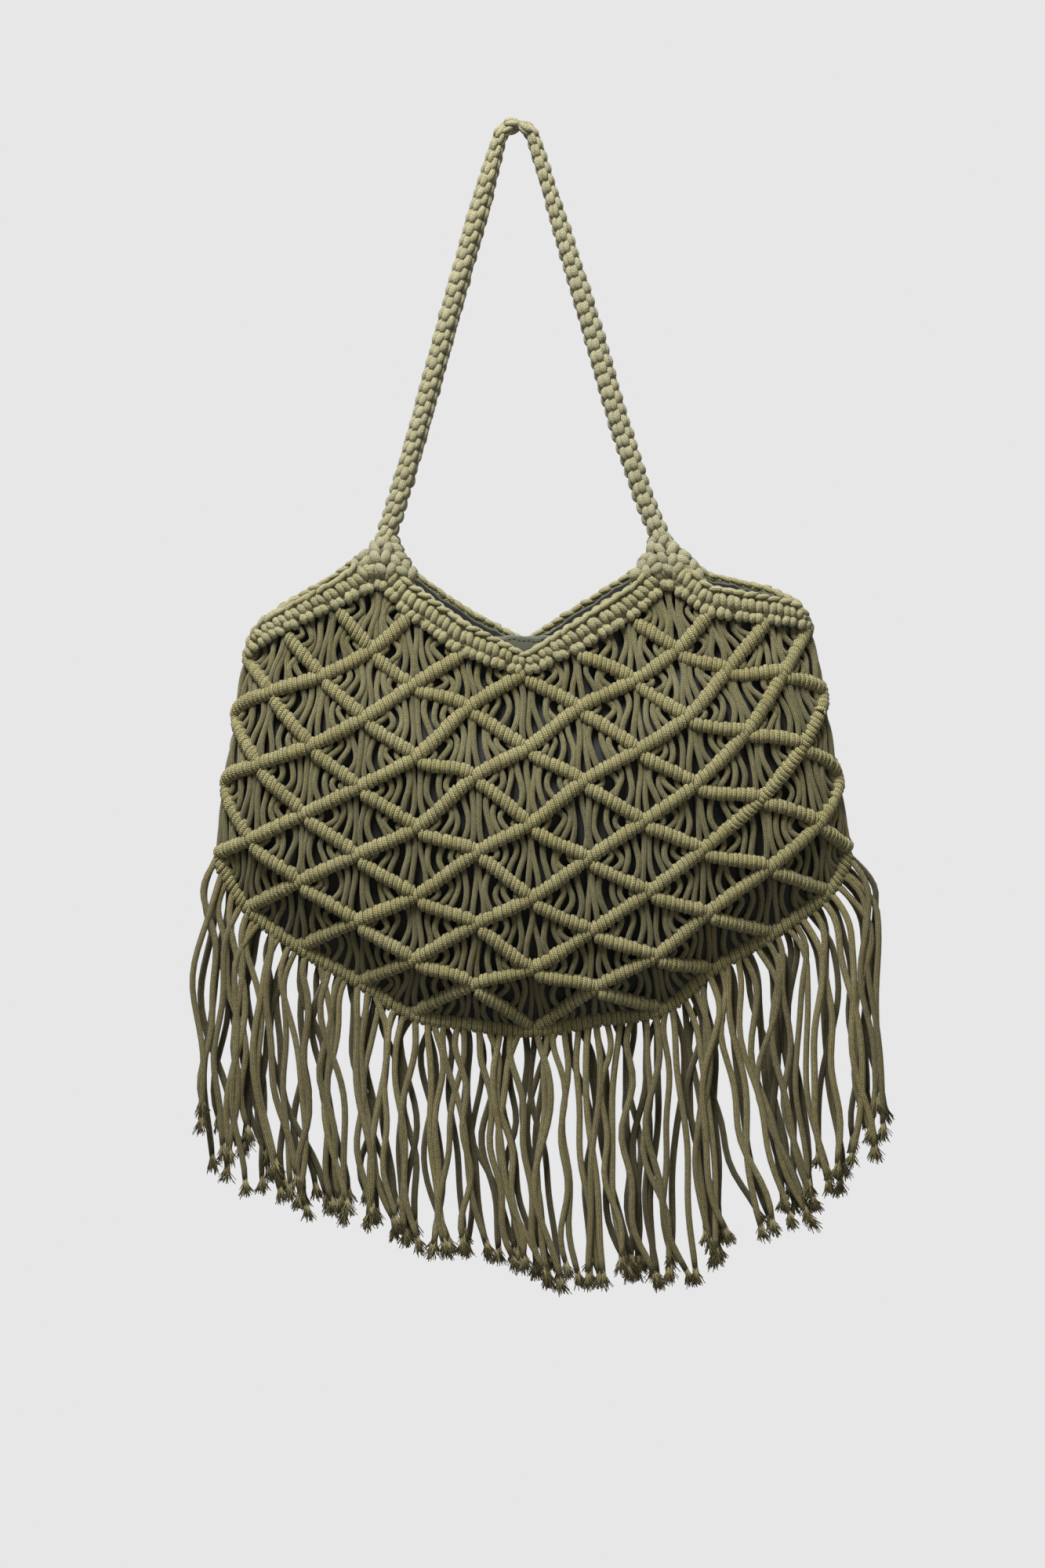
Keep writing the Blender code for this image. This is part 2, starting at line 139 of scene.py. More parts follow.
def smooth_path(points: np.ndarray, steps: int) -> np.ndarray:
    """A smooth curve through points.

    Args:
        points: The points to pass, one a row.
        steps: Samples for each span between two points.

    Returns:
        The samples, one a row, with every given point among them.
    """
    ends = (2 * points[:1] - points[1:2], points, 2 * points[-1:] - points[-2:-1])
    knots = np.concatenate(ends)
    shares = np.arange(steps)[:, None] / steps
    spans = []
    for before, start, end, after in zip(knots, knots[1:], knots[2:], knots[3:]):
        lean = end - before
        cubic = 3 * start - before - 3 * end + after
        square = 2 * before - 5 * start + 4 * end - after
        spans.append(start + 0.5 * shares * (lean + shares * (square + shares * cubic)))
    return np.concatenate([*spans, points[-1:]])


def lengths_along(path: np.ndarray) -> np.ndarray:
    """Distance from the start of a path to each of its points."""
    return np.concatenate(([0.0], np.cumsum(np.linalg.norm(np.diff(path, axis=0), axis=1))))


def at_lengths(path: np.ndarray, wanted: np.ndarray) -> np.ndarray:
    """The points of a path at those distances from its start."""
    reached = lengths_along(path)
    return np.stack([np.interp(wanted, reached, path[:, k]) for k in range(3)], axis=1)


def rounded_ends(bend: np.ndarray, fullness: float = 1.12) -> np.ndarray:
    """Radius along a short loop, for places from -1 to 1, as a share of its middle's radius."""
    return np.sqrt(np.clip(fullness - bend**2, 0.12, 1))


def rounded(path: np.ndarray, reach: float, spacing: float) -> np.ndarray:
    """A path with its corners rounded and its points evenly spaced.

    Args:
        path: The points of the path.
        reach: How far from a corner the rounding starts.
        spacing: Distance between two points of the result.

    Returns:
        The rounded path, which keeps both ends.
    """
    total = lengths_along(path)[-1]
    count = max(round(total / spacing), 2)
    even = at_lengths(path, np.linspace(0, total, count + 1))
    width = max(round(reach / spacing), 1)
    padded = np.concatenate([np.repeat(even[:1], width, 0), even, np.repeat(even[-1:], width, 0)])
    weights = np.hanning(2 * width + 3)[1:-1]
    weights /= weights.sum()
    smoothed = np.stack([np.convolve(padded[:, k], weights, "valid") for k in range(3)], axis=1)
    smoothed[0] = even[0]
    smoothed[-1] = even[-1]
    return smoothed


# The form of the body.
@dataclass
class BagForm:
    """Sizes of the bag, and the surface that its net and its rims follow."""

    body_width: float = 0.370
    body_height: float = 0.276
    body_depth: float = 0.062
    mouth_width: float = 0.036
    shoulder_bulge: float = 0.006
    back_lift: float = 0.006
    close_from: float = 0.40
    rim_height: float = 0.0203
    rim_thickness: float = 0.009
    pinch: float = 0.0073
    side_tuck: float = 0.0032
    corner_tuck: float = 0.0030
    corner_drop: float = 0.75
    handle_rise: float = 0.2376
    handle_thickness: float = 0.0125
    handle_bend: float = 0.010

    def column_at(self, c: float) -> Column:
        """The table's row at a column, or the blend of the two rows beside it.

        Args:
            c: Column, from 0 at the left side to LAST at the right side.

        Returns:
            The row.
        """
        low = min(max(int(c), 0), LAST - 1)
        share = c - low
        pair = zip(NET_COLUMNS[low], NET_COLUMNS[low + 1])
        return Column(*(a + (b - a) * share for a, b in pair))

    def height(self, drop: float) -> float:
        """Height of a place that lies that share of the body's height below the handle's feet."""
        return -self.handle_rise - self.body_height * drop

    def tucked(self, c: float) -> float:
        """How far the outermost columns move towards the middle."""
        return self.side_tuck * (max(0.0, 1 - c) - max(0.0, 1 - (LAST - c)))

    def across(self, column: Column, fall: float) -> float:
        """Place across the body at that share of the way down a column."""
        bowed = column.bow * 4 * fall * (1 - fall)
        return self.body_width * (column.x_top + (column.x_bottom - column.x_top) * fall + bowed)

    def mouth_half(self, c: float) -> float:
        """Half the distance between the front and back net along the mouth.

        Args:
            c: Column.

        Returns:
            The distance from the bag's middle plane.
        """
        from_middle = abs(c - MIDDLE)
        to_foot = (FOOT_COLUMNS[1] - FOOT_COLUMNS[0]) / 2
        if from_middle < to_foot:
            open_share = math.cos(math.pi * from_middle / (2 * to_foot)) ** 2
            return self.pinch + (self.mouth_width / 2 - self.pinch) * open_share
        share = min((from_middle - to_foot) / (MIDDLE - to_foot), 1.0)
        bulge = self.pinch + self.shoulder_bulge * math.sin(math.pi * share)
        return bulge * math.sqrt(1 - share**8)

    def half_depth(self, c: float, fall: float) -> float:
        """Half the depth of the net.

        Args:
            c: Column.
            fall: 0 at the mouth and 1 at the seam.

        Returns:
            The distance from the bag's middle plane.
        """
        across = min(abs(c - MIDDLE) / MIDDLE, 1.0)
        belly = self.body_depth / 2 * math.sqrt(1 - across**2)
        eased = smooth_step(fall / self.close_from)
        mixed = self.mouth_half(c) * (1 - eased) + belly * eased
        closing = min(max((fall - self.close_from) / (1 - self.close_from), 0.0), 1.0)
        return mixed * math.sqrt(1 - closing**2)

    def level_fall(self, column: Column, level: float) -> float:
        """How far down its column a crossing lies.

        Args:
            column: The column's row of the table.
            level: Crossings down the net.

        Returns:
            0 at the mouth and 1 at the seam.
        """
        share = (level - column.top_level) / (column.bottom_level - column.top_level)
        share = min(max(share, 0.0), 1.0)
        rest = 1 - share
        return 3 * share * rest * (rest * column.upper + share * column.lower) + share**3

    def net_point(self, c: float, level: float, side: int) -> np.ndarray:
        """A point of the net's middle surface.

        Args:
            c: Column, from 0 at the left side to LAST at the right side.
            level: Crossings down the net.
            side: Front or back.

        Returns:
            The point.
        """
        column = self.column_at(c)
        fall = self.level_fall(column, level)
        x = self.across(column, fall) + self.tucked(c)
        drop = column.drop_top + (column.drop_bottom - column.drop_top) * fall
        folded = c <= 0 or c >= LAST
        lifted = side == Side.BACK and not folded
        lift = self.back_lift * column.lift * (1 - smooth_step(fall)) if lifted else 0.0
        depth = 0.0 if folded else self.half_depth(c, fall)
        return np.array((x, side * depth, self.height(drop) + lift))

    def net_normal(self, c: float, level: float, side: int) -> np.ndarray:
        """The direction that points out of the net.

        Args:
            c: Column.
            level: Crossings down the net.
            side: Front or back.

        Returns:
            The direction, of length 1.
        """
        if c <= 0 or c >= LAST:
            return np.array((-1.0 if c <= 0 else 1.0, 0.0, 0.0))
        step = 0.3
        across = self.net_point(c + step, level, side) - self.net_point(c - step, level, side)
        down = self.net_point(c, level + step, side) - self.net_point(c, level - step, side)
        normal = np.cross(down, across)
        return unit(normal * (1 if normal[1] * side > 0 else -1))

    def seam_point(self, c: float) -> np.ndarray:
        """A point of the bottom seam."""
        return self.net_point(c, self.column_at(c).bottom_level, Side.FRONT) * (1, 0, 1)

    def rim_point(self, c: float, side: int, share: float) -> np.ndarray:
        """A point of the rim's middle surface.

        Args:
            c: Column.
            side: Front or back.
            share: 0 at the rim's lower edge and 1 at its top edge.

        Returns:
            The point.
        """
        column = self.column_at(c)
        lift = self.back_lift * column.lift if side == Side.BACK else 0.0
        low = self.height(column.drop_top) + lift
        from_side = min(min(c, LAST - c) / 0.5, 1.0)
        corner = 1 - self.corner_drop * (1 - math.sqrt(1 - (1 - from_side) ** 2))
        high = min(low + self.rim_height * column.rise * corner, -self.handle_rise)
        meeting = self.rim_thickness / 2
        least = meeting + (self.pinch - meeting) * from_side
        depth = max(self.half_depth(c, 0), least)
        x = self.body_width * column.x_top + self.tucked(c)
        tuck = self.corner_tuck * (1 - from_side) ** 2
        x += tuck if c < MIDDLE else -tuck
        return np.array((x, side * depth, low + (high - low) * share))


# Meshes of cord.
def add_object(name: str, data: bpy.types.ID) -> bpy.types.Object:
    """Adds an object to the scene.

    Args:
        name: Its name.
        data: Its mesh, light or camera.

    Returns:
        The object.
    """
    made = bpy.data.objects.new(name, data)
    bpy.context.scene.collection.objects.link(made)
    return made


class CordMesh:
    """Collects tubes of cord and joins them into one mesh."""

    def __init__(self) -> None:
        """Starts with nothing."""
        self.points: list[np.ndarray] = []
        self.corners: list[np.ndarray] = []
        self.sizes: list[np.ndarray] = []
        self.coords: list[np.ndarray] = []
        self.tones: list[np.ndarray] = []
        self.count = 0

    def add_rings(self, rings: np.ndarray, coords: np.ndarray, tone: np.ndarray) -> None:
        """Adds one closed tube.

        Args:
            rings: Cross sections, as sections by points by 3.
            coords: The pattern's place at each ring's points, with the first point repeated.
            tone: Lightness of each ring, or of each of its points.
        """
        sections, around = rings.shape[:2]
        near = np.arange(around)
        far = (near + 1) % around
        first = (np.arange(sections - 1) * around)[:, None]
        quads = np.stack([first + near, first + far, first + around + far, first + around + near], 2)
        wraps = np.stack(
            [coords[:-1, :-1], coords[:-1, 1:], coords[1:, 1:], coords[1:, :-1]], axis=2
        )
        top = (sections - 1) * around + near
        corners = np.concatenate([quads.ravel(), near[::-1], top]) + self.count
        self.points.append(rings.reshape(-1, 3))
        self.corners.append(corners)
        self.sizes.append(np.array([4] * (sections - 1) * around + [around] * 2))
        self.coords.append(np.concatenate([wraps.reshape(-1, 2), coords[0, :-1], coords[-1, :-1]]))
        self.tones.append(np.broadcast_to(tone, (sections, around)).ravel())
        self.count += sections * around

    def add_cord(
        self,
        path: np.ndarray,
        radius: float | np.ndarray,
        hint: np.ndarray | tuple[float, float, float] = (0.0, 1.0, 0.0),
        around: int = 8,
        tone: float | np.ndarray = 1.0,
        start: float = 0.0,
        flat: float = 1.0,
        inner_shade: float = 1.0,
        stitch: float = BRAID_STITCH,
    ) -> None:
        """Adds a plain braided cord.

        Args:
            path: Its middle line.
            radius: Its radius, or one for each point of the path.
            hint: A direction that no part of the path runs along.
            around: Points in a cross section.
            tone: Its lightness, or one for each point of the path.
            start: Where in the braid the cord starts.
            flat: Its thickness towards the hint, as a share of its width.
            inner_shade: Painted shade on the side away from the hint: its lightness, as a share of the
                near side's.
            stitch: Length of a stitch of its braid.
        """
        along = unit(np.gradient(path, axis=0))
        out = unit(hint - along * (along @ np.asarray(hint, float))[:, None])
        across = np.cross(along, out)
        turns = np.arange(around) / around * 2 * math.pi
        wide = np.broadcast_to(radius, len(path))[:, None, None]
        near = flat * np.cos(turns)[:, None] * out[:, None]
        ring = near + np.sin(turns)[:, None] * across[:, None]
        columns = 2 * round(math.pi * float(np.max(radius)) / BRAID_COLUMN)
        coords = np.empty((len(path), around + 1, 2))
        coords[:, :, 0] = (start + lengths_along(path) / stitch)[:, None]
        coords[:, :, 1] = np.arange(around + 1) / around * max(columns, 2)
        shades = inner_shade + (1 - inner_shade) * (0.5 + 0.5 * np.cos(turns))
        tones = np.broadcast_to(tone, len(path))[:, None] * shades
        self.add_rings(path[:, None] + ring * wide, coords, tones)

    def make(self, name: str) -> bpy.types.Object:
        """Makes the mesh object.

        Args:
            name: The piece's name.

        Returns:
            The object, smooth shaded, with its pattern places and tones.
        """
        mesh = bpy.data.meshes.new(name)
        points = np.concatenate(self.points)
        corners = np.concatenate(self.corners)
        sizes = np.concatenate(self.sizes)
        mesh.vertices.add(len(points))
        mesh.vertices.foreach_set("co", points.astype(np.float32).ravel())
        mesh.loops.add(len(corners))
        mesh.loops.foreach_set("vertex_index", corners.astype(np.int32))
        mesh.polygons.add(len(sizes))
        starts = np.concatenate(([0], np.cumsum(sizes)[:-1])).astype(np.int32)
        mesh.polygons.foreach_set("loop_start", starts)
        mesh.update(calc_edges=True)
        mesh.polygons.foreach_set("use_smooth", np.ones(len(sizes), bool))
        places = mesh.uv_layers.new(name="braid")
        places.data.foreach_set("uv", np.concatenate(self.coords).astype(np.float32).ravel())
        tones = mesh.attributes.new("tone", "FLOAT", "POINT")
        tones.data.foreach_set("value", np.concatenate(self.tones).astype(np.float32))
        mesh.validate()
        return add_object(name, mesh)


# How far down the groove a wrap's surface lies at shares of the wrap's width.
WRAP_PROFILE = ((0.0, 1.0), (0.18, 0.28), (0.5, 0.0), (0.82, 0.28))


@dataclass(frozen=True)
class HitchStyle:
    """How a cord is hitched round the cords inside a rib, one ring for each wrap.

    The groove between the two wraps of one hitch is shallower than that between two hitches.
    """

    radius: float
    pitch: float
    groove: float
    around: int = 10
    uneven: float = 0.07
    uneven_width: float = 0.14
    within_hitch: float = 0.60
    shade: float = 0.55
    upright: float = 0.45
    most_lean: float = 0.40
    end_reach: float = 0.55

    def stations(self, length: float, rng: random.Random) -> list[tuple[float, float, float, float]]:
        """The cross sections along a rib.

        Args:
            length: Length of the rib.
            rng: Source of its unevenness.

        Returns:
            Distance along the rib, radius, tone and pattern place of each cross section.
        """
        count = max(round(length / self.pitch), 1)
        narrow, broad = 1 - self.uneven_width, 1 + self.uneven_width
        widths = np.array([rng.uniform(narrow, broad) for _ in range(count)])
        starts = np.concatenate(([0.0], np.cumsum(widths))) / widths.sum() * length
        found = []
        for n in range(count):
            swell = 1 + rng.uniform(-self.uneven, self.uneven)
            tone = 1 + rng.uniform(-0.10, 0.08)
            for phase, dip in WRAP_PROFILE:
                fresh = (n + (phase > 0.5)) % 2
                deep = dip * (1.0 if fresh else self.within_hitch)
                place_along = starts[n] + phase * (starts[n + 1] - starts[n])
                radius = self.radius * swell - self.groove * deep
                # Painted shade: each ring is darker the deeper it lies in a groove.
                shaded = tone * (1 - self.shade * deep)
                found.append((place_along, radius, shaded, 2 * (n + phase)))
        # Painted shade: the rib's last ring, where it tucks in, is darker.
        found.append((length, self.radius - self.groove, 0.7, 2.0 * count))
        return found


def add_hitches(
    mesh: CordMesh,
    path: np.ndarray,
    out: np.ndarray,
    style: HitchStyle,
    rng: random.Random,
    tone: float = 1.0,
) -> None:
    """Adds a rib of hitches round a path.

    Args:
        mesh: The mesh to add to.
        path: The rib's middle line.
        out: The direction out of the bag at each point of the path.
        style: The hitches.
        rng: Source of their unevenness.
        tone: Their lightness.
    """
    total = lengths_along(path)[-1]
    places, radii, tones, wraps = np.array(style.stations(total, rng)).T
    from_end = np.minimum(places, total - places) / (style.end_reach * style.radius)
    radii = radii * np.sqrt(1 - (1 - np.clip(from_end, 0.10, 1)) ** 2)
    middle = at_lengths(path, places)
    normal = at_lengths(out, places / total * lengths_along(out)[-1]) if len(out) > 1 else out
    along = unit(np.gradient(middle, axis=0))
    normal = unit(normal - along * np.sum(normal * along, axis=1, keepdims=True))
    across = np.cross(along, normal)
    turns = np.arange(style.around) / style.around * 2 * math.pi
    upright = along[:, 2] / np.where(np.abs(across[:, 2]) < 0.3, 0.3, across[:, 2])
    lean = np.clip(style.upright * upright, -style.most_lean, style.most_lean)
    lean += rng.uniform(-0.05, 0.05)
    slanted = across + lean[:, None] * along
    ring = np.cos(turns)[:, None] * normal[:, None] + np.sin(turns)[:, None] * slanted[:, None]
    rings = middle[:, None] + ring * radii[:, None, None]
    coords = np.empty((len(places), style.around + 1, 2))
    stitches = round(2 * math.pi * style.radius / BRAID_STITCH)
    coords[:, :, 0] = np.arange(style.around + 1) / style.around * stitches
    coords[:, :, 1] = wraps[:, None]
    mesh.add_rings(rings, coords, tone * tones[:, None])


# Finishes.
def linear(code: str) -> tuple[float, float, float, float]:
    """A colour for a shader from its sRGB hex code.

    Args:
        code: The code, with its leading sign.

    Returns:
        Linear red, green and blue, and full opacity.
    """
    parts = [int(code[k : k + 2], 16) / 255 for k in (1, 3, 5)]
    red, green, blue = (p / 12.92 if p <= 0.04045 else ((p + 0.055) / 1.055) ** 2.4 for p in parts)
    return (red, green, blue, 1.0)


def add_node(
    tree: bpy.types.NodeTree,
    kind: str,
    inputs: dict[int | str, Any] | None = None,
    **settings: Any,
) -> bpy.types.Node:
    """Adds a node with its settings and links.

    Args:
        tree: The tree to add it to.
        kind: The node's type.
        inputs: A value, or a socket to link, for each input by name or number.
        **settings: The node's own properties.

    Returns:
        The node.
    """
    node = tree.nodes.new(kind)
    for name, value in settings.items():
        setattr(node, name, value)
    for key, value in (inputs or {}).items():
        if isinstance(value, bpy.types.NodeSocket):
            tree.links.new(value, node.inputs[key])
        else:
            node.inputs[key].default_value = value
    return node


def set_stops(node: bpy.types.Node, stops: tuple[tuple[float, str], ...]) -> None:
    """Sets a colour ramp's stops.

    Args:
        node: The ramp's node.
        stops: The place and the sRGB hex code of each stop.
    """
    ramp = node.color_ramp
    for element, (place, code) in zip(ramp.elements, stops):
        element.position = place
        element.color = linear(code)
    for place, code in stops[len(ramp.elements) :]:
        ramp.elements.new(place).color = linear(code)


def new_material(name: str) -> tuple[bpy.types.Material, bpy.types.NodeTree]:
    """Adds an empty material.

    Args:
        name: Its name.

    Returns:
        The material and its tree.
    """
    made = bpy.data.materials.new(name)
    made.use_nodes = True
    made.node_tree.nodes.clear()
    return made, made.node_tree


def add_tone(tree: bpy.types.NodeTree, colour: bpy.types.NodeSocket) -> bpy.types.NodeSocket:
    """Darkens a colour by the tone that is kept in the piece's mesh, which holds random lightness and
    painted shade.

    Args:
        tree: The material's tree.
        colour: The colour.

    Returns:
        The toned colour.
    """
    tone = add_node(tree, "ShaderNodeAttribute", attribute_name="tone")
    toned = add_node(
        tree,
        "ShaderNodeMix",
        {"Factor": 1.0, 6: colour, 7: tone.outputs["Fac"]},
        data_type="RGBA",
        blend_type="MULTIPLY",
    )
    return toned.outputs[2]


@dataclass(frozen=True)
class BraidedCotton:
    """Round braided cord, olive green, taken as dyed cotton.

    The eye sees a matt cord with a fine herringbone of thread, with a painted highlight on the tops of
    the threads, painted shade in the hollows between them, and faint cloudy patches about 36 mm wide.
    The fibres are drawn as tufts 1.6 mm wide, because real ones are too fine to show.
    """

    name: str
    hollow_shade: str
    thread: str
    lit: str
    faded: str
    relief: float = 0.00034
    patches_a_metre: float = 28.0
    tufts_a_metre: float = 620.0
    roughness: float = 0.86
    sheen: float = 0.20

    def material(self) -> bpy.types.Material:
        """Makes the material.

        Returns:
            The material, which reads the piece's braid places and tones.
        """
        made, tree = new_material(self.name)
        height = self.braid(tree)
        places = add_node(tree, "ShaderNodeTexCoord")
        cloudy, fibre = (
            add_node(
                tree,
                "ShaderNodeTexNoise",
                {
                    "Vector": places.outputs["Object"],
                    "Scale": scale,
                    "Detail": detail,
                    "Roughness": rough,
                },
            )
            for scale, detail, rough in (
                (self.patches_a_metre, 3.0, 0.55),
                (self.tufts_a_metre, 2.0, 0.6),
            )
        )
        speck = add_node(
            tree,
            "ShaderNodeMath",
            {0: fibre.outputs["Fac"], 1: 0.8, 2: height},
            operation="MULTIPLY_ADD",
        )
        spread = add_node(
            tree, "ShaderNodeMapRange", {"Value": speck.outputs[0], "From Min": 0.4, "From Max": 1.4}
        )
        threads = add_node(tree, "ShaderNodeValToRGB", {"Fac": spread.outputs[0]})
        # Painted shade in the hollows of the braid, and a painted highlight on the tops of its
        # threads.
        set_stops(threads, ((0.10, self.hollow_shade), (0.75, self.thread), (1.0, self.lit)))
        faded = add_node(
            tree,
            "ShaderNodeMix",
            {"Factor": cloudy.outputs["Fac"], 6: threads.outputs["Color"], 7: linear(self.faded)},
            data_type="RGBA",
            blend_type="MULTIPLY",
        )
        toned = add_tone(tree, faded.outputs[2])
        bump = add_node(
            tree,
            "ShaderNodeBump",
            {"Strength": 1.0, "Distance": self.relief, "Height": speck.outputs[0]},
        )
        shader = add_node(
            tree,
            "ShaderNodeBsdfPrincipled",
            {
                "Base Color": toned,
                "Roughness": self.roughness,
                "Normal": bump.outputs["Normal"],
                "Sheen Weight": self.sheen,
                "Sheen Roughness": 0.55,
                "IOR": 1.45,
                "Specular IOR Level": 0.25,
            },
        )
        add_node(tree, "ShaderNodeOutputMaterial", {"Surface": shader.outputs[0]})
        return made

    def braid(self, tree: bpy.types.NodeTree) -> bpy.types.NodeSocket:
        """Adds the herringbone of the braid.

        Args:
            tree: The material's tree.

        Returns:
            The height of the thread, from 0 between two stitches to 1 on top of one.
        """
        places = add_node(tree, "ShaderNodeUVMap", uv_map="braid")
        split = add_node(tree, "ShaderNodeSeparateXYZ", {0: places.outputs["UV"]})
        stitch, column = split.outputs[0], split.outputs[1]
        inside = add_node(tree, "ShaderNodeMath", {0: column}, operation="FRACT")
        half = add_node(tree, "ShaderNodeMath", {0: column, 1: 0.5}, operation="MULTIPLY")
        turned = add_node(tree, "ShaderNodeMath", {0: half.outputs[0]}, operation="FRACT")
        way = add_node(tree, "ShaderNodeMath", {0: turned.outputs[0], 1: 0.5}, operation="LESS_THAN")
        sign = add_node(
            tree, "ShaderNodeMath", {0: way.outputs[0], 1: 2.0, 2: -1.0}, operation="MULTIPLY_ADD"
        )
        slant = add_node(
            tree,
            "ShaderNodeMath",
            {0: inside.outputs[0], 1: sign.outputs[0], 2: stitch},
            operation="MULTIPLY_ADD",
        )
        turn = add_node(
            tree, "ShaderNodeMath", {0: slant.outputs[0], 1: math.pi}, operation="MULTIPLY"
        )
        wave = add_node(tree, "ShaderNodeMath", {0: turn.outputs[0]}, operation="SINE")
        ridge = add_node(tree, "ShaderNodeMath", {0: wave.outputs[0]}, operation="ABSOLUTE")
        edge = add_node(
            tree, "ShaderNodeMath", {0: inside.outputs[0], 1: math.pi}, operation="MULTIPLY"
        )
        bow = add_node(tree, "ShaderNodeMath", {0: edge.outputs[0]}, operation="SINE")
        crown = add_node(tree, "ShaderNodeMath", {0: bow.outputs[0], 1: 0.5}, operation="POWER")
        height = add_node(
            tree,
            "ShaderNodeMath",
            {0: ridge.outputs[0], 1: crown.outputs[0]},
            operation="MULTIPLY",
        )
        return height.outputs[0]


# A wave texture's scale that draws one band in each metre.
ONE_BAND = 6.283 / 20


@dataclass(frozen=True)
class WovenCloth:
    """Plain woven lining cloth, grey green, taken as polyester.

    The eye sees a thin smooth cloth, a little less matt than the cord, with a faint sheen along its
    folds and cloudy patches about 29 mm wide. Its threads can't be seen in the photo and are taken
    as 0.3 mm apart, which is too fine to show, so they are drawn coarser.
    """

    name: str = "woven_lining"
    thread: str = "#7C7E6E"
    shade: str = "#55584B"
    thread_spacing: float = 0.0007
    thread_relief: float = 0.0001
    patches_a_metre: float = 35.0
    roughness: float = 0.62
    sheen: float = 0.10

    def material(self) -> bpy.types.Material:
        """Makes the material.

        Returns:
            The material, which reads the cloth's weave places and tones.
        """
        made, tree = new_material(self.name)
        places = add_node(tree, "ShaderNodeUVMap", uv_map="weave")
        weave = []
        for way in ("X", "Y"):
            wave = add_node(
                tree,
                "ShaderNodeTexWave",
                {"Vector": places.outputs["UV"], "Scale": ONE_BAND / self.thread_spacing},
                bands_direction=way,
            )
            weave.append(wave.outputs["Fac"])
        threads = add_node(tree, "ShaderNodeMath", {0: weave[0], 1: weave[1]}, operation="MULTIPLY")
        spots = add_node(tree, "ShaderNodeTexCoord")
        cloudy = add_node(
            tree,
            "ShaderNodeTexNoise",
            {"Vector": spots.outputs["Object"], "Scale": self.patches_a_metre},
        )
        mixed = add_node(
            tree,
            "ShaderNodeMath",
            {0: cloudy.outputs["Fac"], 1: 0.8, 2: threads.outputs[0]},
            operation="MULTIPLY_ADD",
        )
        ramp = add_node(tree, "ShaderNodeValToRGB", {"Fac": mixed.outputs[0]})
        set_stops(ramp, ((0.2, self.shade), (0.9, self.thread)))
        toned = add_tone(tree, ramp.outputs["Color"])
        bump = add_node(
            tree,
            "ShaderNodeBump",
            {
                "Strength": 0.6,
                "Distance": self.thread_relief,
                "Height": threads.outputs[0],
            },
        )
        shader = add_node(
            tree,
            "ShaderNodeBsdfPrincipled",
            {
                "Base Color": toned,
                "Roughness": self.roughness,
                "Normal": bump.outputs["Normal"],
                "Sheen Weight": self.sheen,
            },
        )
        add_node(tree, "ShaderNodeOutputMaterial", {"Surface": shader.outputs[0]})
        return made


# One kind of cord, in the shades that the photo shows. The net is a deeper green than the rims and
# has less nap.
NET_FINISH = BraidedCotton("net_cotton", "#726B3E", "#C6BE8A", "#DAD3AA", "#D6D1B0")
# The rims are paler, with a soft nap.
RIM_FINISH = BraidedCotton("rim_cotton", "#9E986E", "#C8C296", "#D0CBA6", "#DAD6BA", sheen=0.30)
# The handle is the palest.
HANDLE_FINISH = BraidedCotton("handle_cotton", "#A49E7A", "#CAC5A0", "#D2CEB0", "#DCD8C2", sheen=0.28)
# The fringe is browner and darker.
FRINGE_FINISH = BraidedCotton("fringe_cotton", "#554C28", "#B4A974", "#CCC49A", "#C9C09E")
LINING_FINISH = WovenCloth()


def place(
    piece: bpy.types.Object, finish: bpy.types.Material, slot: str, nodes: tuple[str, ...]
) -> None:
    """Gives a finished piece its material and its body, and hides the solids that it stands for.

    Args:
        piece: The piece.
        finish: Its material.
        slot: Not used.
        nodes: The solids that it replaces.
    """
    piece.data.materials.clear()
    piece.data.materials.append(finish)
    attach(piece, BODY)
    if nodes:
        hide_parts(*nodes)
    piece.data.calc_loop_triangles()
    LOG.info("%s: %d triangles", piece.name, len(piece.data.loop_triangles))


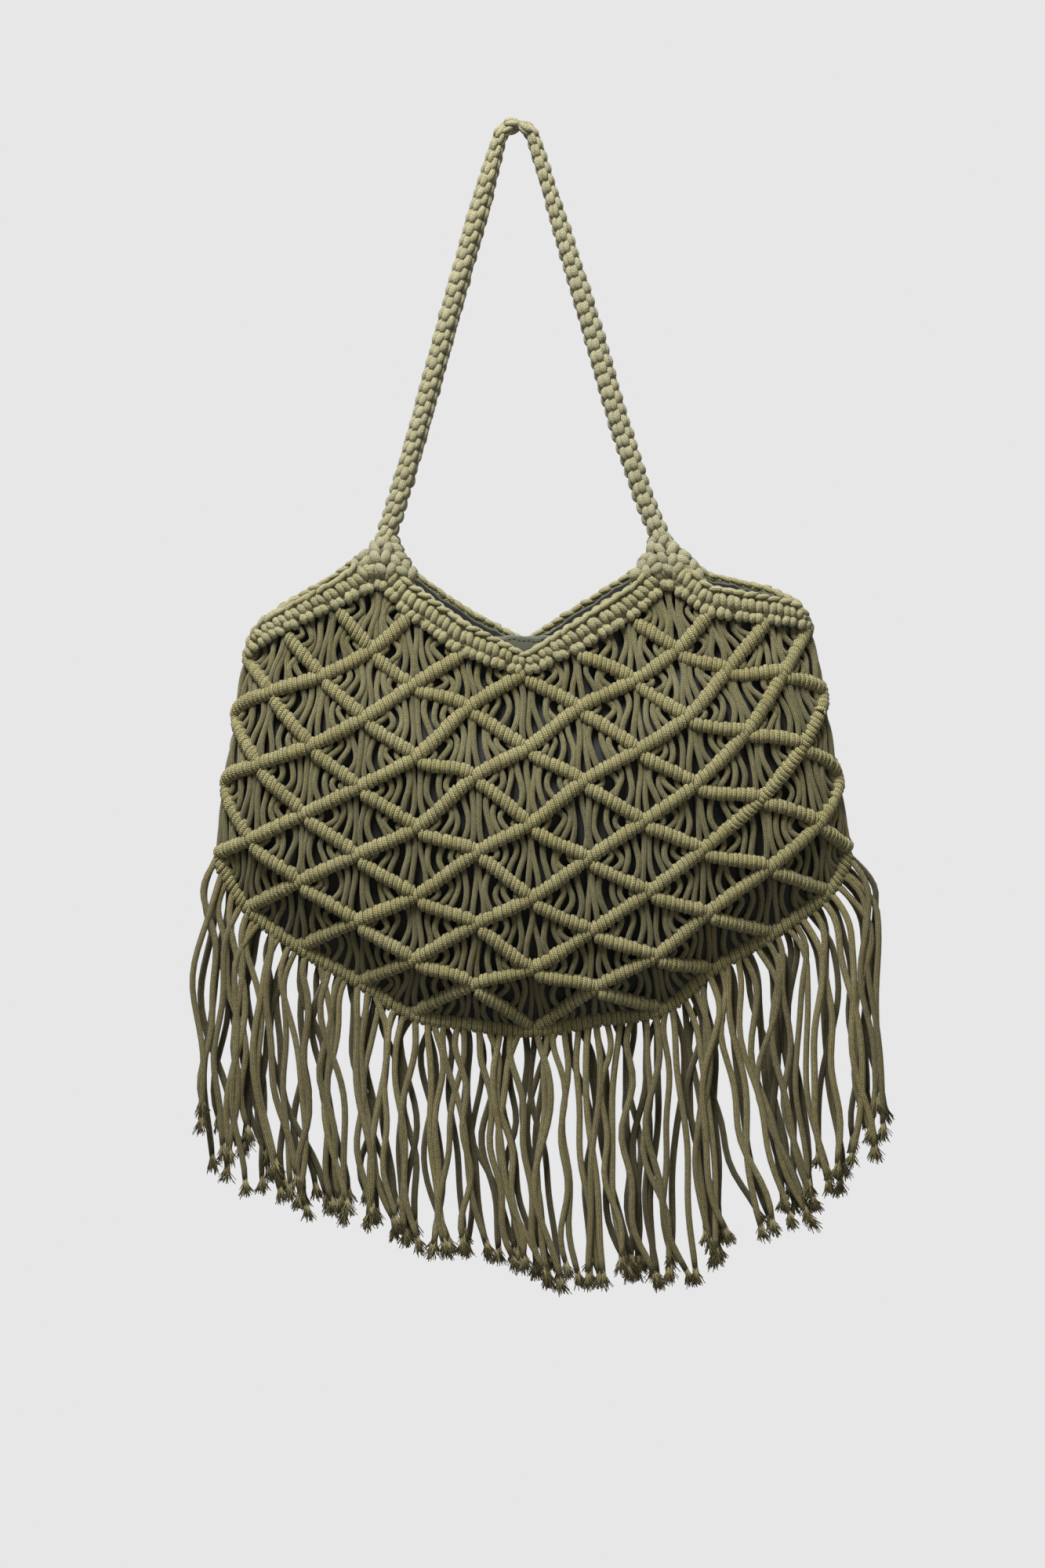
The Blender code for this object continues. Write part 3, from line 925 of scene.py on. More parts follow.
# The net.
class NetLattice:
    """The crossings of the net, and the smooth lines that its ribs follow round the bag."""

    STEPS = 10

    def __init__(self, form: BagForm) -> None:
        """Finds every line of the net.

        Args:
            form: Sizes of the bag.
        """
        self.form = form
        self.spans: dict[tuple[State, State], tuple[np.ndarray, np.ndarray]] = {}
        self.lines = {slant: list(self.trace_all(slant)) for slant in Slant}

    def key(self, state: State) -> State:
        """A crossing's name, the same from both sides where front and back meet.

        Args:
            state: Column, level and side of the crossing.

        Returns:
            The name.
        """
        c, level, side = state
        joined = c in (0, LAST) or level >= NET_COLUMNS[c].bottom_level
        return (c, level, 0 if joined else side)

    def neighbour(self, state: State, slant: int, up: int) -> State | None:
        """The next crossing along a rib, round the side of the bag if need be.

        Args:
            state: Column, level and side of this crossing.
            slant: How the rib runs.
            up: 1 to go up the rib and -1 to go down it.

        Returns:
            The next crossing, or None where the rib ends.
        """
        c, level, side = state
        way = -side * slant * up
        if not 0 <= c + way <= LAST:
            side, way = -side, -way
        beyond = (c + way, level - up / 2, side)
        here, there = NET_COLUMNS[c], NET_COLUMNS[c + way]
        if not there.top_level <= beyond[1] <= there.bottom_level:
            return None
        on_mouth = level == here.top_level and beyond[1] == there.top_level
        on_seam = level == here.bottom_level and beyond[1] == there.bottom_level
        return None if on_mouth or on_seam else beyond

    def crossings(self) -> Iterator[State]:
        """Finds every crossing of the net, each once.

        Returns:
            The crossings, one after another.
        """
        for c, column in enumerate(NET_COLUMNS):
            for n in range(round(column.bottom_level - column.top_level) + 1):
                for side in (Side.FRONT,) if c in (0, LAST) else tuple(Side):
                    yield (c, column.top_level + n, int(side))

    def trace_all(self, slant: int) -> Iterator[list[np.ndarray]]:
        """Follows every rib of one slant, and keeps each span between two crossings.

        Args:
            slant: How the ribs run.

        Returns:
            The points of each rib and the directions out of the bag, one rib after another.
        """
        for start in self.crossings():
            if self.neighbour(start, slant, -1) is not None:
                continue
            states = [start]
            while (beyond := self.neighbour(states[-1], slant, 1)) is not None:
                states.append(beyond)
            if len(states) < 2:
                continue
            points = np.array([self.form.net_point(*state) for state in states])
            normals = np.array([self.form.net_normal(*state) for state in states])
            path, out = smooth_path(points, self.STEPS), unit(smooth_path(normals, self.STEPS))
            self.keep_spans(states, path, out)
            yield [path, out]

    def keep_spans(self, states: list[State], path: np.ndarray, out: np.ndarray) -> None:
        """Keeps each span of a line under the names of its two crossings.

        Args:
            states: The crossings along the line.
            path: The points of the line.
            out: The directions out of the bag along it.
        """
        for n, (low, high) in enumerate(zip(states, states[1:])):
            part = slice(n * self.STEPS, (n + 1) * self.STEPS + 1)
            self.spans[self.key(low), self.key(high)] = (path[part], out[part])

    def span(self, start: State, end: State) -> tuple[np.ndarray, np.ndarray]:
        """The line between two neighbouring crossings, on a rib, the rim or the seam.

        Args:
            start: The crossing to start from.
            end: The crossing to end at.

        Returns:
            The points of the line and the directions out of the bag.
        """
        here, there = self.key(start), self.key(end)
        if (here, there) in self.spans:
            return self.spans[here, there]
        if (there, here) in self.spans:
            path, out = self.spans[there, here]
            return path[::-1], out[::-1]
        points = np.array([self.form.net_point(*start), self.form.net_point(*end)])
        normals = np.array([self.form.net_normal(*start), self.form.net_normal(*end)])
        return smooth_path(points, self.STEPS), unit(smooth_path(normals, self.STEPS))

    def seam(self) -> np.ndarray:
        """The line of the bottom seam from side to side."""
        points = np.array([self.form.seam_point(c) for c in range(LAST + 1)])
        return smooth_path(points, self.STEPS)


@dataclass
class NetRibs:
    """The hitched ribs. Rising ones run on; falling ones butt against them at each crossing."""

    lattice: NetLattice
    style: HitchStyle = HitchStyle(radius=0.0043, pitch=0.0028, groove=0.0012)
    seam_style: HitchStyle = HitchStyle(radius=0.0046, pitch=0.0029, groove=0.0013)
    seam_drop: float = 0.001
    start_trim: float = 0.04
    droop: float = 0.0036

    def build(self, finish: bpy.types.Material) -> None:
        """Makes the two pieces of ribs.

        Args:
            finish: Their material.
        """
        rng = random.Random(11)
        rising = CordMesh()
        for path, out in self.lattice.lines[Slant.RISING]:
            add_hitches(rising, path, out, self.style, rng)
        seam = self.lattice.seam()
        front = np.tile((0.0, -1.0, 0.0), (len(seam), 1))
        add_hitches(rising, seam - UP * self.seam_drop, front, self.seam_style, rng)
        place(rising.make("rising_ribs"), finish, "net_cord", ("net",))
        falling = CordMesh()
        for path, out in self.lattice.lines[Slant.FALLING]:
            for n in range(0, len(path) - 1, self.lattice.STEPS):
                part = slice(n, n + self.lattice.STEPS + 1)
                self.add_short(falling, path[part], out[part], rng)
        place(falling.make("falling_ribs"), finish, "net_cord", ("net",))

    def add_short(
        self, mesh: CordMesh, path: np.ndarray, out: np.ndarray, rng: random.Random
    ) -> None:
        """Adds a falling rib between two crossings.

        Args:
            mesh: The mesh to add to.
            path: The line between the crossings, from its lower end.
            out: The direction out of the bag along it.
            rng: Source of unevenness.
        """
        total = lengths_along(path)[-1]
        places = np.linspace(self.start_trim * total, total, len(path))
        shares = np.linspace(0, 1, len(path))[:, None]
        sag = self.droop * shares + rng.uniform(-0.0012, 0.0006) * np.sin(math.pi * shares)
        wave = rng.uniform(-0.0003, 0.0003) * np.sin(2 * math.pi * shares)
        add_hitches(mesh, at_lengths(path, places) - (sag + wave) * UP, out, self.style, rng)


class FanCord(NamedTuple):
    """One cord of a fan: where it leaves the upper rib and meets the lower one, and its bow."""

    top: float
    bottom: float
    bow: float


@dataclass
class NetFans:
    """Ten cords in each diamond, five nested round each side corner."""

    lattice: NetLattice
    cords: tuple[FanCord, ...] = (
        FanCord(0.075, 0.10, 0.0012),
        FanCord(0.26, 0.29, 0.0029),
        FanCord(0.44, 0.47, 0.0036),
        FanCord(0.61, 0.64, 0.0044),
        FanCord(0.77, 0.79, 0.0030),
    )
    points: int = 9
    radius: float = 0.00174
    tuck: float = 0.0016
    lap: float = 0.0004
    uneven_place: float = 0.035
    last_place: float = 0.80
    uneven_bow: tuple[float, float] = (0.70, 1.6)
    ripple: float = 0.0014
    tones: tuple[float, float] = (0.51, 0.68)
    end_shade: float = 0.58

    def build(self, finish: bpy.types.Material) -> None:
        """Makes the fans of the front and of the back.

        Args:
            finish: Their material.
        """
        rng = random.Random(5)
        meshes = {Side.FRONT: CordMesh(), Side.BACK: CordMesh()}
        for c, column in enumerate(NET_COLUMNS):
            for n in range(round(column.bottom_level - column.top_level)):
                top = column.top_level + n
                for side in Side:
                    for way in (-1, 1):
                        if 0 <= c + way <= LAST:
                            self.add_half(meshes[side], c, top, side, way, rng)
        for side, mesh in meshes.items():
            piece = mesh.make(f"fans_{side.name.lower()}")
            place(piece, finish, "net_cord", ("net",))

    def add_half(
        self, mesh: CordMesh, c: int, top: float, side: int, way: int, rng: random.Random
    ) -> None:
        """Adds the five cords round one side corner of a diamond.

        Args:
            mesh: The mesh to add to.
            c: The diamond's middle column.
            top: Level of its top corner.
            side: Front or back.
            way: -1 for the left corner and 1 for the right one.
            rng: Source of unevenness.
        """
        corner = (c + way, top + 0.5, side)
        high, high_out = self.lattice.span((c, top, side), corner)
        low, low_out = self.lattice.span((c, top + 1, side), corner)
        inward = unit((high[0] + low[0]) / 2 - high[-1])
        shares = np.linspace(0, 1, self.points)
        for cord in self.cords:
            places = []
            for line, share in ((high, cord.top), (low, cord.bottom)):
                share += rng.uniform(-self.uneven_place, self.uneven_place)
                share = min(max(share, 0.0), self.last_place)
                places.append((line, share * lengths_along(line)[-1]))
            start, end = (at_lengths(line, np.array([s]))[0] for line, s in places)
            start = start - high_out[0] * self.tuck
            end = end + low_out[0] * self.lap
            bow = cord.bow * rng.uniform(*self.uneven_bow)
            path = start + (end - start) * shares[:, None]
            path += inward * bow * np.sin(math.pi * shares ** rng.uniform(0.7, 1.1))[:, None]
            ripple = rng.uniform(-self.ripple, self.ripple)
            path += inward * ripple * np.sin(2 * math.pi * shares)[:, None]
            path += high_out[0] * rng.uniform(-0.0014, 0.0008) * np.sin(math.pi * shares)[:, None]
            wide = self.radius * rng.uniform(0.94, 1.06)
            # Painted shade: the fan cords are darker than the ribs, and darker still towards both
            # ends, where they run under the ribs.
            inside = self.end_shade + (1 - self.end_shade) * np.sin(math.pi * shares)
            tone = rng.uniform(*self.tones) * inside
            mesh.add_cord(path, wide, high_out[0], 8, tone, rng.uniform(0, 9))


# The rims.
@dataclass(frozen=True)
class LoopStyle:
    """One kind of upright loop in a rim, thinner where its ends tuck in and darker there as painted
    shade.
    """

    radius: float
    spacing: float
    points: int
    uneven: float
    end_size: float
    swell: float
    tones: tuple[float, float]
    end_shade: float

    def add(
        self,
        mesh: CordMesh,
        middle: np.ndarray,
        rise: np.ndarray,
        out: np.ndarray,
        along: np.ndarray,
        rng: random.Random,
    ) -> None:
        """Adds one loop.

        Args:
            mesh: The mesh to add to.
            middle: The point of the rim that it is tied round.
            rise: From the middle to its upper end.
            out: From the middle to the front of the loop.
            along: Direction along the rim.
            rng: Source of unevenness.
        """
        turns = np.linspace(-0.5, 0.5, self.points) * math.pi
        loop = middle + np.sin(turns)[:, None] * rise + np.cos(turns)[:, None] * out
        wide = self.radius * rng.uniform(1 - self.uneven, 1 + self.uneven)
        wide = wide * np.clip(self.end_size + self.swell * np.cos(turns), 0.7, 1.0)
        # Painted shade: the loop is darker towards its tucked ends.
        shade = self.end_shade + (1 - self.end_shade) * np.sqrt(np.cos(turns).clip(0, 1))
        tone = rng.uniform(*self.tones) * shade
        mesh.add_cord(loop, wide, along, 9, tone, rng.uniform(0, 9))


class RimTrack(NamedTuple):
    """A line along the rim, with the directions along, out of the bag and up the rim."""

    path: np.ndarray
    along: np.ndarray
    out: np.ndarray
    up: np.ndarray
    reached: np.ndarray
    count: int

    def index(self, stitches: float, shift: float = 0.0) -> int:
        """The track's point that many stitches from its start, moved on by a distance."""
        wanted = stitches * self.reached[-1] / self.count + shift
        return min(int(np.searchsorted(self.reached, wanted)), len(self.path) - 1)


@dataclass
class RimBand:
    """One rim: a thick row of paired hitches between a thin chain and a row of small knots."""

    form: BagForm
    side: Side
    lowered: float
    hitch: LoopStyle = LoopStyle(
        radius=0.0022,
        spacing=0.0040,
        points=8,
        uneven=0.08,
        end_size=0.72,
        swell=0.30,
        tones=(0.90, 1.06),
        end_shade=0.84,
    )
    knot: LoopStyle = LoopStyle(
        radius=0.0024,
        spacing=0.0092,
        points=7,
        uneven=0.10,
        end_size=0.75,
        swell=0.28,
        tones=(0.88, 1.06),
        end_shade=0.82,
    )
    core: HitchStyle = HitchStyle(radius=0.0028, pitch=0.0043, groove=0.0004)
    bottom_core: HitchStyle = HitchStyle(radius=0.0024, pitch=0.0046, groove=0.0004)
    top_core: HitchStyle = HitchStyle(radius=0.0025, pitch=0.0052, groove=0.0004)
    core_inset: float = 0.0008
    core_shade: float = 0.70
    chain_radius: float = 0.0015
    chain_spacing: float = 0.0066
    chain_tones: tuple[float, float] = (0.92, 1.06)
    chain_end_shade: float = 0.82
    hitch_share: float = 0.62
    hitch_sizes: tuple[float, float] = (0.0050, 0.0094)
    hitch_lean: float = 0.22
    pair_lean: float = 0.12
    pair_gap: float = 0.07
    knot_half: float = 0.0019
    knot_gap: float = 0.195
    knot_lean: float = 0.15
    bulge: float = 0.0021
    foot_cover: float = 0.015
    corner_rounding: float = 0.006

    def line(self, share: float, spacing: float = 0.0005) -> np.ndarray:
        """The line along the rim.

        Args:
            share: 0 at the rim's lower edge and 1 at its top edge.
            spacing: Distance between two points of it.

        Returns:
            The points, which end where the front and the back rim meet.
        """
        columns = np.linspace(0, LAST, 40 * LAST + 1)
        path = np.array([self.form.rim_point(c, self.side, share) for c in columns])
        for end, way in ((0, -1), (-1, 1)):
            tip = path[end] + (way * 0.0004, 0, -0.0012)
            tip[1] = self.side * 0.0016
            path = np.concatenate([[tip], path]) if end == 0 else np.concatenate([path, [tip]])
        return rounded(path, self.corner_rounding, spacing)

    def frames(self, path: np.ndarray) -> tuple[np.ndarray, np.ndarray, np.ndarray]:
        """Finds the directions at each point of a line along the rim.

        Args:
            path: The points of the line.

        Returns:
            The directions along, out of the bag and up the rim.
        """
        along = unit(np.gradient(path, axis=0))
        out = unit(np.cross(along, UP)) * -self.side
        out = out * np.where(out[:, 1:2] * self.side < 0, -1.0, 1.0)
        up = np.cross(along, out)
        up = up * np.where(up[:, 2:3] < 0, -1.0, 1.0)
        return along, out, up

    def track(self, share: float, spacing: float) -> RimTrack:
        """Lays out one row of stitches.

        Args:
            share: The row's place, as a share of the rim's height.
            spacing: Length of one stitch.

        Returns:
            The row's line, directions, distances and number of stitches.
        """
        path = self.line(share)
        reached = lengths_along(path)
        return RimTrack(path, *self.frames(path), reached, round(reached[-1] / spacing))

    def height_along(self, path: np.ndarray) -> np.ndarray:
        """Height of the rim at each point of a line along it.

        Args:
            path: The points of the line.

        Returns:
            The heights.
        """
        top, bottom = self.line(1.0), self.line(0.0)
        upper = np.interp(path[:, 0], top[:, 0], top[:, 2])
        return np.abs(upper - np.interp(path[:, 0], bottom[:, 0], bottom[:, 2]))

    def add_row(self, mesh: CordMesh, rng: random.Random) -> None:
        """Adds the row of upright hitches, in leaning pairs.

        Args:
            mesh: The mesh to add to.
            rng: Source of unevenness.
        """
        row = self.track(0.55 - self.lowered, self.hitch.spacing)
        height = self.height_along(row.path)
        shortest, tallest = self.hitch_sizes
        for n in range(row.count):
            odd = 1 if n % 2 else -1
            k = row.index(n + 0.5 - self.pair_gap * odd)
            size = min(max(shortest, self.hitch_share * height[k]), tallest)
            reach = (size / 2 - 0.75 * self.hitch.radius) * rng.uniform(0.9, 1.08)
            lean = self.hitch_lean + self.pair_lean * odd + rng.uniform(-0.12, 0.12)
            bulge = self.bulge * rng.uniform(0.8, 1.2)
            middle = row.path[k] + row.up[k] * rng.uniform(-0.0005, 0.0005)
            rise = (row.up[k] - row.along[k] * lean) * reach
            self.hitch.add(mesh, middle, rise, row.out[k] * bulge, row.along[k], rng)

    def add_knots(self, mesh: CordMesh, rng: random.Random) -> None:
        """Adds the lower row of knots, each of two fat loops side by side.

        Args:
            mesh: The mesh to add to.
            rng: Source of unevenness.
        """
        row = self.track(0.08, self.knot.spacing)
        for n in range(row.count):
            tilt = rng.uniform(-0.25, 0.35)
            shift = rng.uniform(-0.0008, 0.0008)
            for way in (-1, 1):
                k = row.index(n + 0.5 + self.knot_gap * way, shift)
                reach = self.knot_half * rng.uniform(0.85, 1.15)
                middle = row.path[k] + row.up[k] * rng.uniform(-0.0006, 0.0006)
                rise = (row.up[k] - row.along[k] * (tilt + self.knot_lean * way)) * reach
                self.knot.add(mesh, middle, rise, row.out[k] * self.bulge, row.along[k], rng)

    def add_chain(self, mesh: CordMesh, rng: random.Random) -> None:
        """Adds the chain of flat stitches along the top edge, except under the handle's feet.

        Args:
            mesh: The mesh to add to.
            rng: Source of unevenness.
        """
        row = self.track(0.93 - 1.8 * self.lowered, self.chain_spacing)
        feet = self.form.body_width * np.array([NET_COLUMNS[foot].x_top for foot in FOOT_COLUMNS])
        bend = np.linspace(-1, 1, 7)
        rounding = rounded_ends(bend)
        for n in range(row.count):
            for depth, way in ((0.0016, 1), (-0.0020, -1)):
                k = row.index(n + 0.5 + 0.25 * way)
                if np.min(np.abs(row.path[k][0] - feet)) < self.foot_cover:
                    continue
                up, out = row.up[k], row.out[k]
                run = unit(row.along[k] + up * way * rng.uniform(-0.05, 0.40))
                half = self.chain_spacing * rng.uniform(0.58, 0.74)
                bow = (1 - bend**2)[:, None] * (out * way * 0.0009 + up * 0.0004)
                stitch = row.path[k] + out * depth + run * bend[:, None] * half + bow
                wide = self.chain_radius * rng.uniform(0.9, 1.15) * rounding
                # Painted shade: each stitch is darker towards its ends.
                shade = self.chain_end_shade + (1 - self.chain_end_shade) * rounding
                tone = rng.uniform(*self.chain_tones) * shade
                mesh.add_cord(stitch, wide, out, 8, tone, rng.uniform(0, 9))

    def add_core(self, mesh: CordMesh, rng: random.Random) -> None:
        """Adds the cords that the hitches are tied round, which show inside the bag.

        Args:
            mesh: The mesh to add to.
            rng: Source of unevenness.
        """
        for share, style in (
            (0.06, self.bottom_core),
            (0.30 - 0.5 * self.lowered, self.core),
            (0.58 - self.lowered, self.core),
            (0.86 - 1.8 * self.lowered, self.top_core),
        ):
            path = self.line(share, 0.001)
            out = self.frames(path)[1]
            # Painted shade: the cores, which lie behind the loops, are darker.
            add_hitches(mesh, path - out * self.core_inset, out, style, rng, self.core_shade)

    def build(self, finish: bpy.types.Material) -> None:
        """Makes the rim.

        Args:
            finish: Its material.
        """
        rng = random.Random(21 + self.side)
        mesh = CordMesh()
        self.add_core(mesh, rng)
        self.add_row(mesh, rng)
        self.add_knots(mesh, rng)
        self.add_chain(mesh, rng)
        name = f"rim_{self.side.name.lower()}"
        place(mesh.make(f"{name}_knots"), finish, "rim_cord", (name,))


# The handle.
class LobeFace(NamedTuple):
    """One of the eight columns of lobes round the handle, two to each of its four faces."""

    turn: float
    radius: float
    offset: float
    step: float


class FootTier(NamedTuple):
    """One tier of knots in the cluster at a foot of the handle."""

    height: float
    reach: float
    depth: float
    knots: int


@dataclass
class Handle:
    """A square sennit of doubled lobes round a core, with a cluster of knots at each foot."""

    form: BagForm
    lobe_pitch: float = 0.0072
    lobe_length: float = 0.0092
    lobe_flat: float = 0.9
    lobe_rise: float = 0.0011
    lobe_arch: float = 0.0017
    core_radius: float = 0.0038
    core_shade: float = 0.65
    knot_radius: float = 0.0028
    knot_length: float = 0.0084
    knot_tilt: float = 0.50
    knot_tones: tuple[float, float] = (0.80, 0.96)
    foot_lean: float = 0.34
    foot_overlap: float = 0.002
    cone_heights: tuple[float, float] = (-0.005, 0.010)
    cone_radii: tuple[float, float] = (0.0070, 0.0028)
    faces: tuple[LobeFace, ...] = (
        LobeFace(-0.13, 0.0024, 0.0046, 0.00),
        LobeFace(0.13, 0.0024, 0.0046, 0.04),
        LobeFace(0.37, 0.0022, 0.0046, 0.50),
        LobeFace(0.63, 0.0022, 0.0046, 0.54),
        LobeFace(0.87, 0.0024, 0.0046, 0.04),
        LobeFace(1.13, 0.0024, 0.0046, 0.00),
        LobeFace(1.37, 0.0022, 0.0046, 0.54),
        LobeFace(1.63, 0.0022, 0.0046, 0.50),
    )
    twists: tuple[float, float] = (0.80, -0.42)
    twist_share: float = 0.35
    bows: tuple[float, float] = (0.0017, 0.0040)
    bow_places: tuple[float, ...] = (0.0, 0.07, 0.15, 0.3, 0.45, 0.6, 0.8, 1.0)
    bow_shares: tuple[float, ...] = (0.1, 0.7, 0.95, 1.0, 0.7, 0.4, 0.2, 0.0)
    top_waist: float = 0.62
    bend_swell: float = 0.16
    bend_reach: float = 0.010
    bend_rounding: float = 0.005
    full_waist: float = 0.95
    waist_reaches: tuple[float, float] = (0.060, 0.125)
    tiers: tuple[FootTier, ...] = (
        FootTier(0.0115, 0.0034, 0.0048, 2),
        FootTier(0.0070, 0.0064, 0.0064, 3),
        FootTier(0.0022, 0.0104, 0.0086, 4),
        FootTier(-0.0030, 0.0144, 0.0108, 6),
        FootTier(-0.0084, 0.0180, 0.0122, 7),
    )

    def waist(self, from_top: float) -> float:
        """Width of the handle, as a share of its full width.

        Args:
            from_top: Distance from the top bend, negative on the left leg.

        Returns:
            The share.
        """
        eased = smooth_step(abs(from_top) / self.waist_reaches[int(from_top > 0)])
        knot = self.bend_swell * (1 - smooth_step(abs(from_top) / self.bend_reach))
        return self.top_waist + (self.full_waist - self.top_waist) * eased + knot

    def line(self) -> np.ndarray:
        """Lays the handle's middle line.

        Returns:
            Its points, from the left foot over the bend to the right foot.
        """
        bend = self.form.handle_bend
        centre = self.form.handle_thickness / 2 * self.top_waist - bend
        legs = []
        for foot, turn in zip(FOOT_COLUMNS, (-1, 1)):
            x = self.form.body_width * NET_COLUMNS[foot].x_top
            base = (x, -self.form.handle_rise + self.foot_overlap)
            run, rise = abs(x), centre - base[1]
            reach = math.hypot(run, rise)
            lean = math.asin(run / reach) - math.asin(bend / reach)
            touch = (turn * bend * math.cos(lean), centre + bend * math.sin(lean))
            shares = np.array(self.bow_places)[:, None]
            bows = np.array(self.bow_shares)[:, None]
            leg = np.array(base) + (np.array(touch) - base) * shares
            leg -= (turn, 0) * bows * self.bows[max(turn, 0)]
            legs.append((leg, lean))
        (left, left_lean), (right, right_lean) = legs
        sweep = math.pi - left_lean - right_lean
        turns = [math.pi - left_lean - sweep * n / 12 for n in range(1, 12)]
        arc = [(bend * math.cos(a), centre + bend * math.sin(a)) for a in turns]
        points = np.concatenate([left, arc, right[::-1]])
        path = np.stack([points[:, 0], np.zeros(len(points)), points[:, 1]], axis=1)
        return rounded(path, self.bend_rounding, 0.0005)

    def build(self, finish: bpy.types.Material) -> None:
        """Makes the handle.

        Args:
            finish: Its material.
        """
        rng = random.Random(3)
        path = self.line()
        mesh = CordMesh()
        reached = lengths_along(path)
        half = reached[-1] / 2
        waists = [self.waist(s - half) for s in reached[::8]]
        # Painted shade: the core, which lies under the lobes, is darker.
        mesh.add_cord(path[::8], self.core_radius * np.array(waists), tone=self.core_shade)
        along = unit(np.gradient(path, axis=0))
        front = np.array((0.0, -1.0, 0.0))
        right = np.cross(along, front)
        count = round(half / self.lobe_pitch)
        for leg, twist in zip((-1, 1), self.twists):
            for n in range(count):
                for face in self.faces:
                    s = half + leg * (n + 0.5 + face.step) * half / count
                    if not 0 < s < reached[-1]:
                        continue
                    k = min(int(np.searchsorted(reached, s)), len(path) - 1)
                    turned = twist * smooth_step((1 - n / count) / self.twist_share)
                    turn = face.turn * math.pi - turned
                    out = front * math.cos(turn) + right[k] * math.sin(turn)
                    size = self.waist(s - half)
                    self.add_lobe(mesh, path[k], along[k] * leg, out, face, size, rng)
        for foot in FOOT_COLUMNS:
            self.add_foot(mesh, foot, rng)
        place(mesh.make("handle_sennit"), finish, "handle_cord", ("handle",))

    def add_lobe(
        self,
        mesh: CordMesh,
        middle: np.ndarray,
        down: np.ndarray,
        out: np.ndarray,
        face: LobeFace,
        size: float,
        rng: random.Random,
    ) -> None:
        """Adds one lobe, tucked in at its upper end and proud at its lower end.

        Args:
            mesh: The mesh to add to.
            middle: The point of the handle's line that it lies beside.
            down: Direction along the handle, away from the top bend.
            out: Direction away from the handle's line.
            face: The column of lobes that it is in.
            size: The handle's width there, as a share of its full width.
            rng: Source of unevenness.
        """
        bend = np.linspace(-1, 1, 8)
        half = self.lobe_length / 2 * rng.uniform(0.94, 1.06)
        run = down + np.cross(down, out) * rng.uniform(0.0, 0.22)
        proud = face.offset * size + self.lobe_rise * bend - self.lobe_arch * bend**2
        proud += rng.uniform(-0.0003, 0.0003)
        path = middle + run * (bend * half)[:, None] + out * proud[:, None]
        radius = face.radius * size * rng.uniform(0.92, 1.08)
        rounding = rounded_ends(bend, 1.10)
        # Painted shade: the lobe is darker towards its ends.
        tone = rng.uniform(0.92, 1.08) * (0.78 + 0.22 * rounding)
        wide = radius * rounding
        mesh.add_cord(path, wide, out, 8, tone, rng.uniform(0, 9), flat=self.lobe_flat)

    def add_foot(self, mesh: CordMesh, foot: int, rng: random.Random) -> None:
        """Adds the cluster of knots that joins the handle to the rims.

        Args:
            mesh: The mesh to add to.
            foot: The foot's column.
            rng: Source of unevenness.
        """
        x = self.form.body_width * NET_COLUMNS[foot].x_top
        base = np.array((x, 0.0, -self.form.handle_rise))
        lean = np.array((-math.copysign(self.foot_lean, x), 0.0, 1.0))
        heights = np.linspace(*self.cone_heights, 6)[:, None]
        # Painted shade: the cone inside the cluster of knots is dark.
        mesh.add_cord(base + heights * lean, np.linspace(*self.cone_radii, 6), around=12, tone=0.5)
        bend = np.linspace(-1, 1, 7)
        rounding = rounded_ends(bend)
        for row, tier in enumerate(self.tiers):
            for side in Side:
                for n in range(tier.knots):
                    share = 2 * n / (tier.knots - 1) - 1
                    tilt = self.knot_tilt * ((-1) ** (n + row) - share) + rng.uniform(-0.3, 0.3)
                    run = np.array((math.sin(tilt), 0.0, math.cos(tilt)))
                    depth = tier.depth * (1 - 0.12 * share**2) - 0.0018 * bend**2
                    path = base + run * (bend * self.knot_length / 2)[:, None]
                    tall = tier.height - 0.0040 * share**2 + rng.uniform(-0.0008, 0.0008)
                    path += (share * tier.reach + lean[0] * max(tier.height, 0), 0.0, tall)
                    path[:, 1] = side * (depth - self.knot_radius * 0.5)
                    wide = self.knot_radius * rng.uniform(0.9, 1.1)
                    # Painted shade: the knot is darker towards its ends.
                    tone = rng.uniform(*self.knot_tones) * (0.76 + 0.24 * rounding)
                    mesh.add_cord(path, wide * rounding, (0.0, 1.0, 0.0), 9, tone)


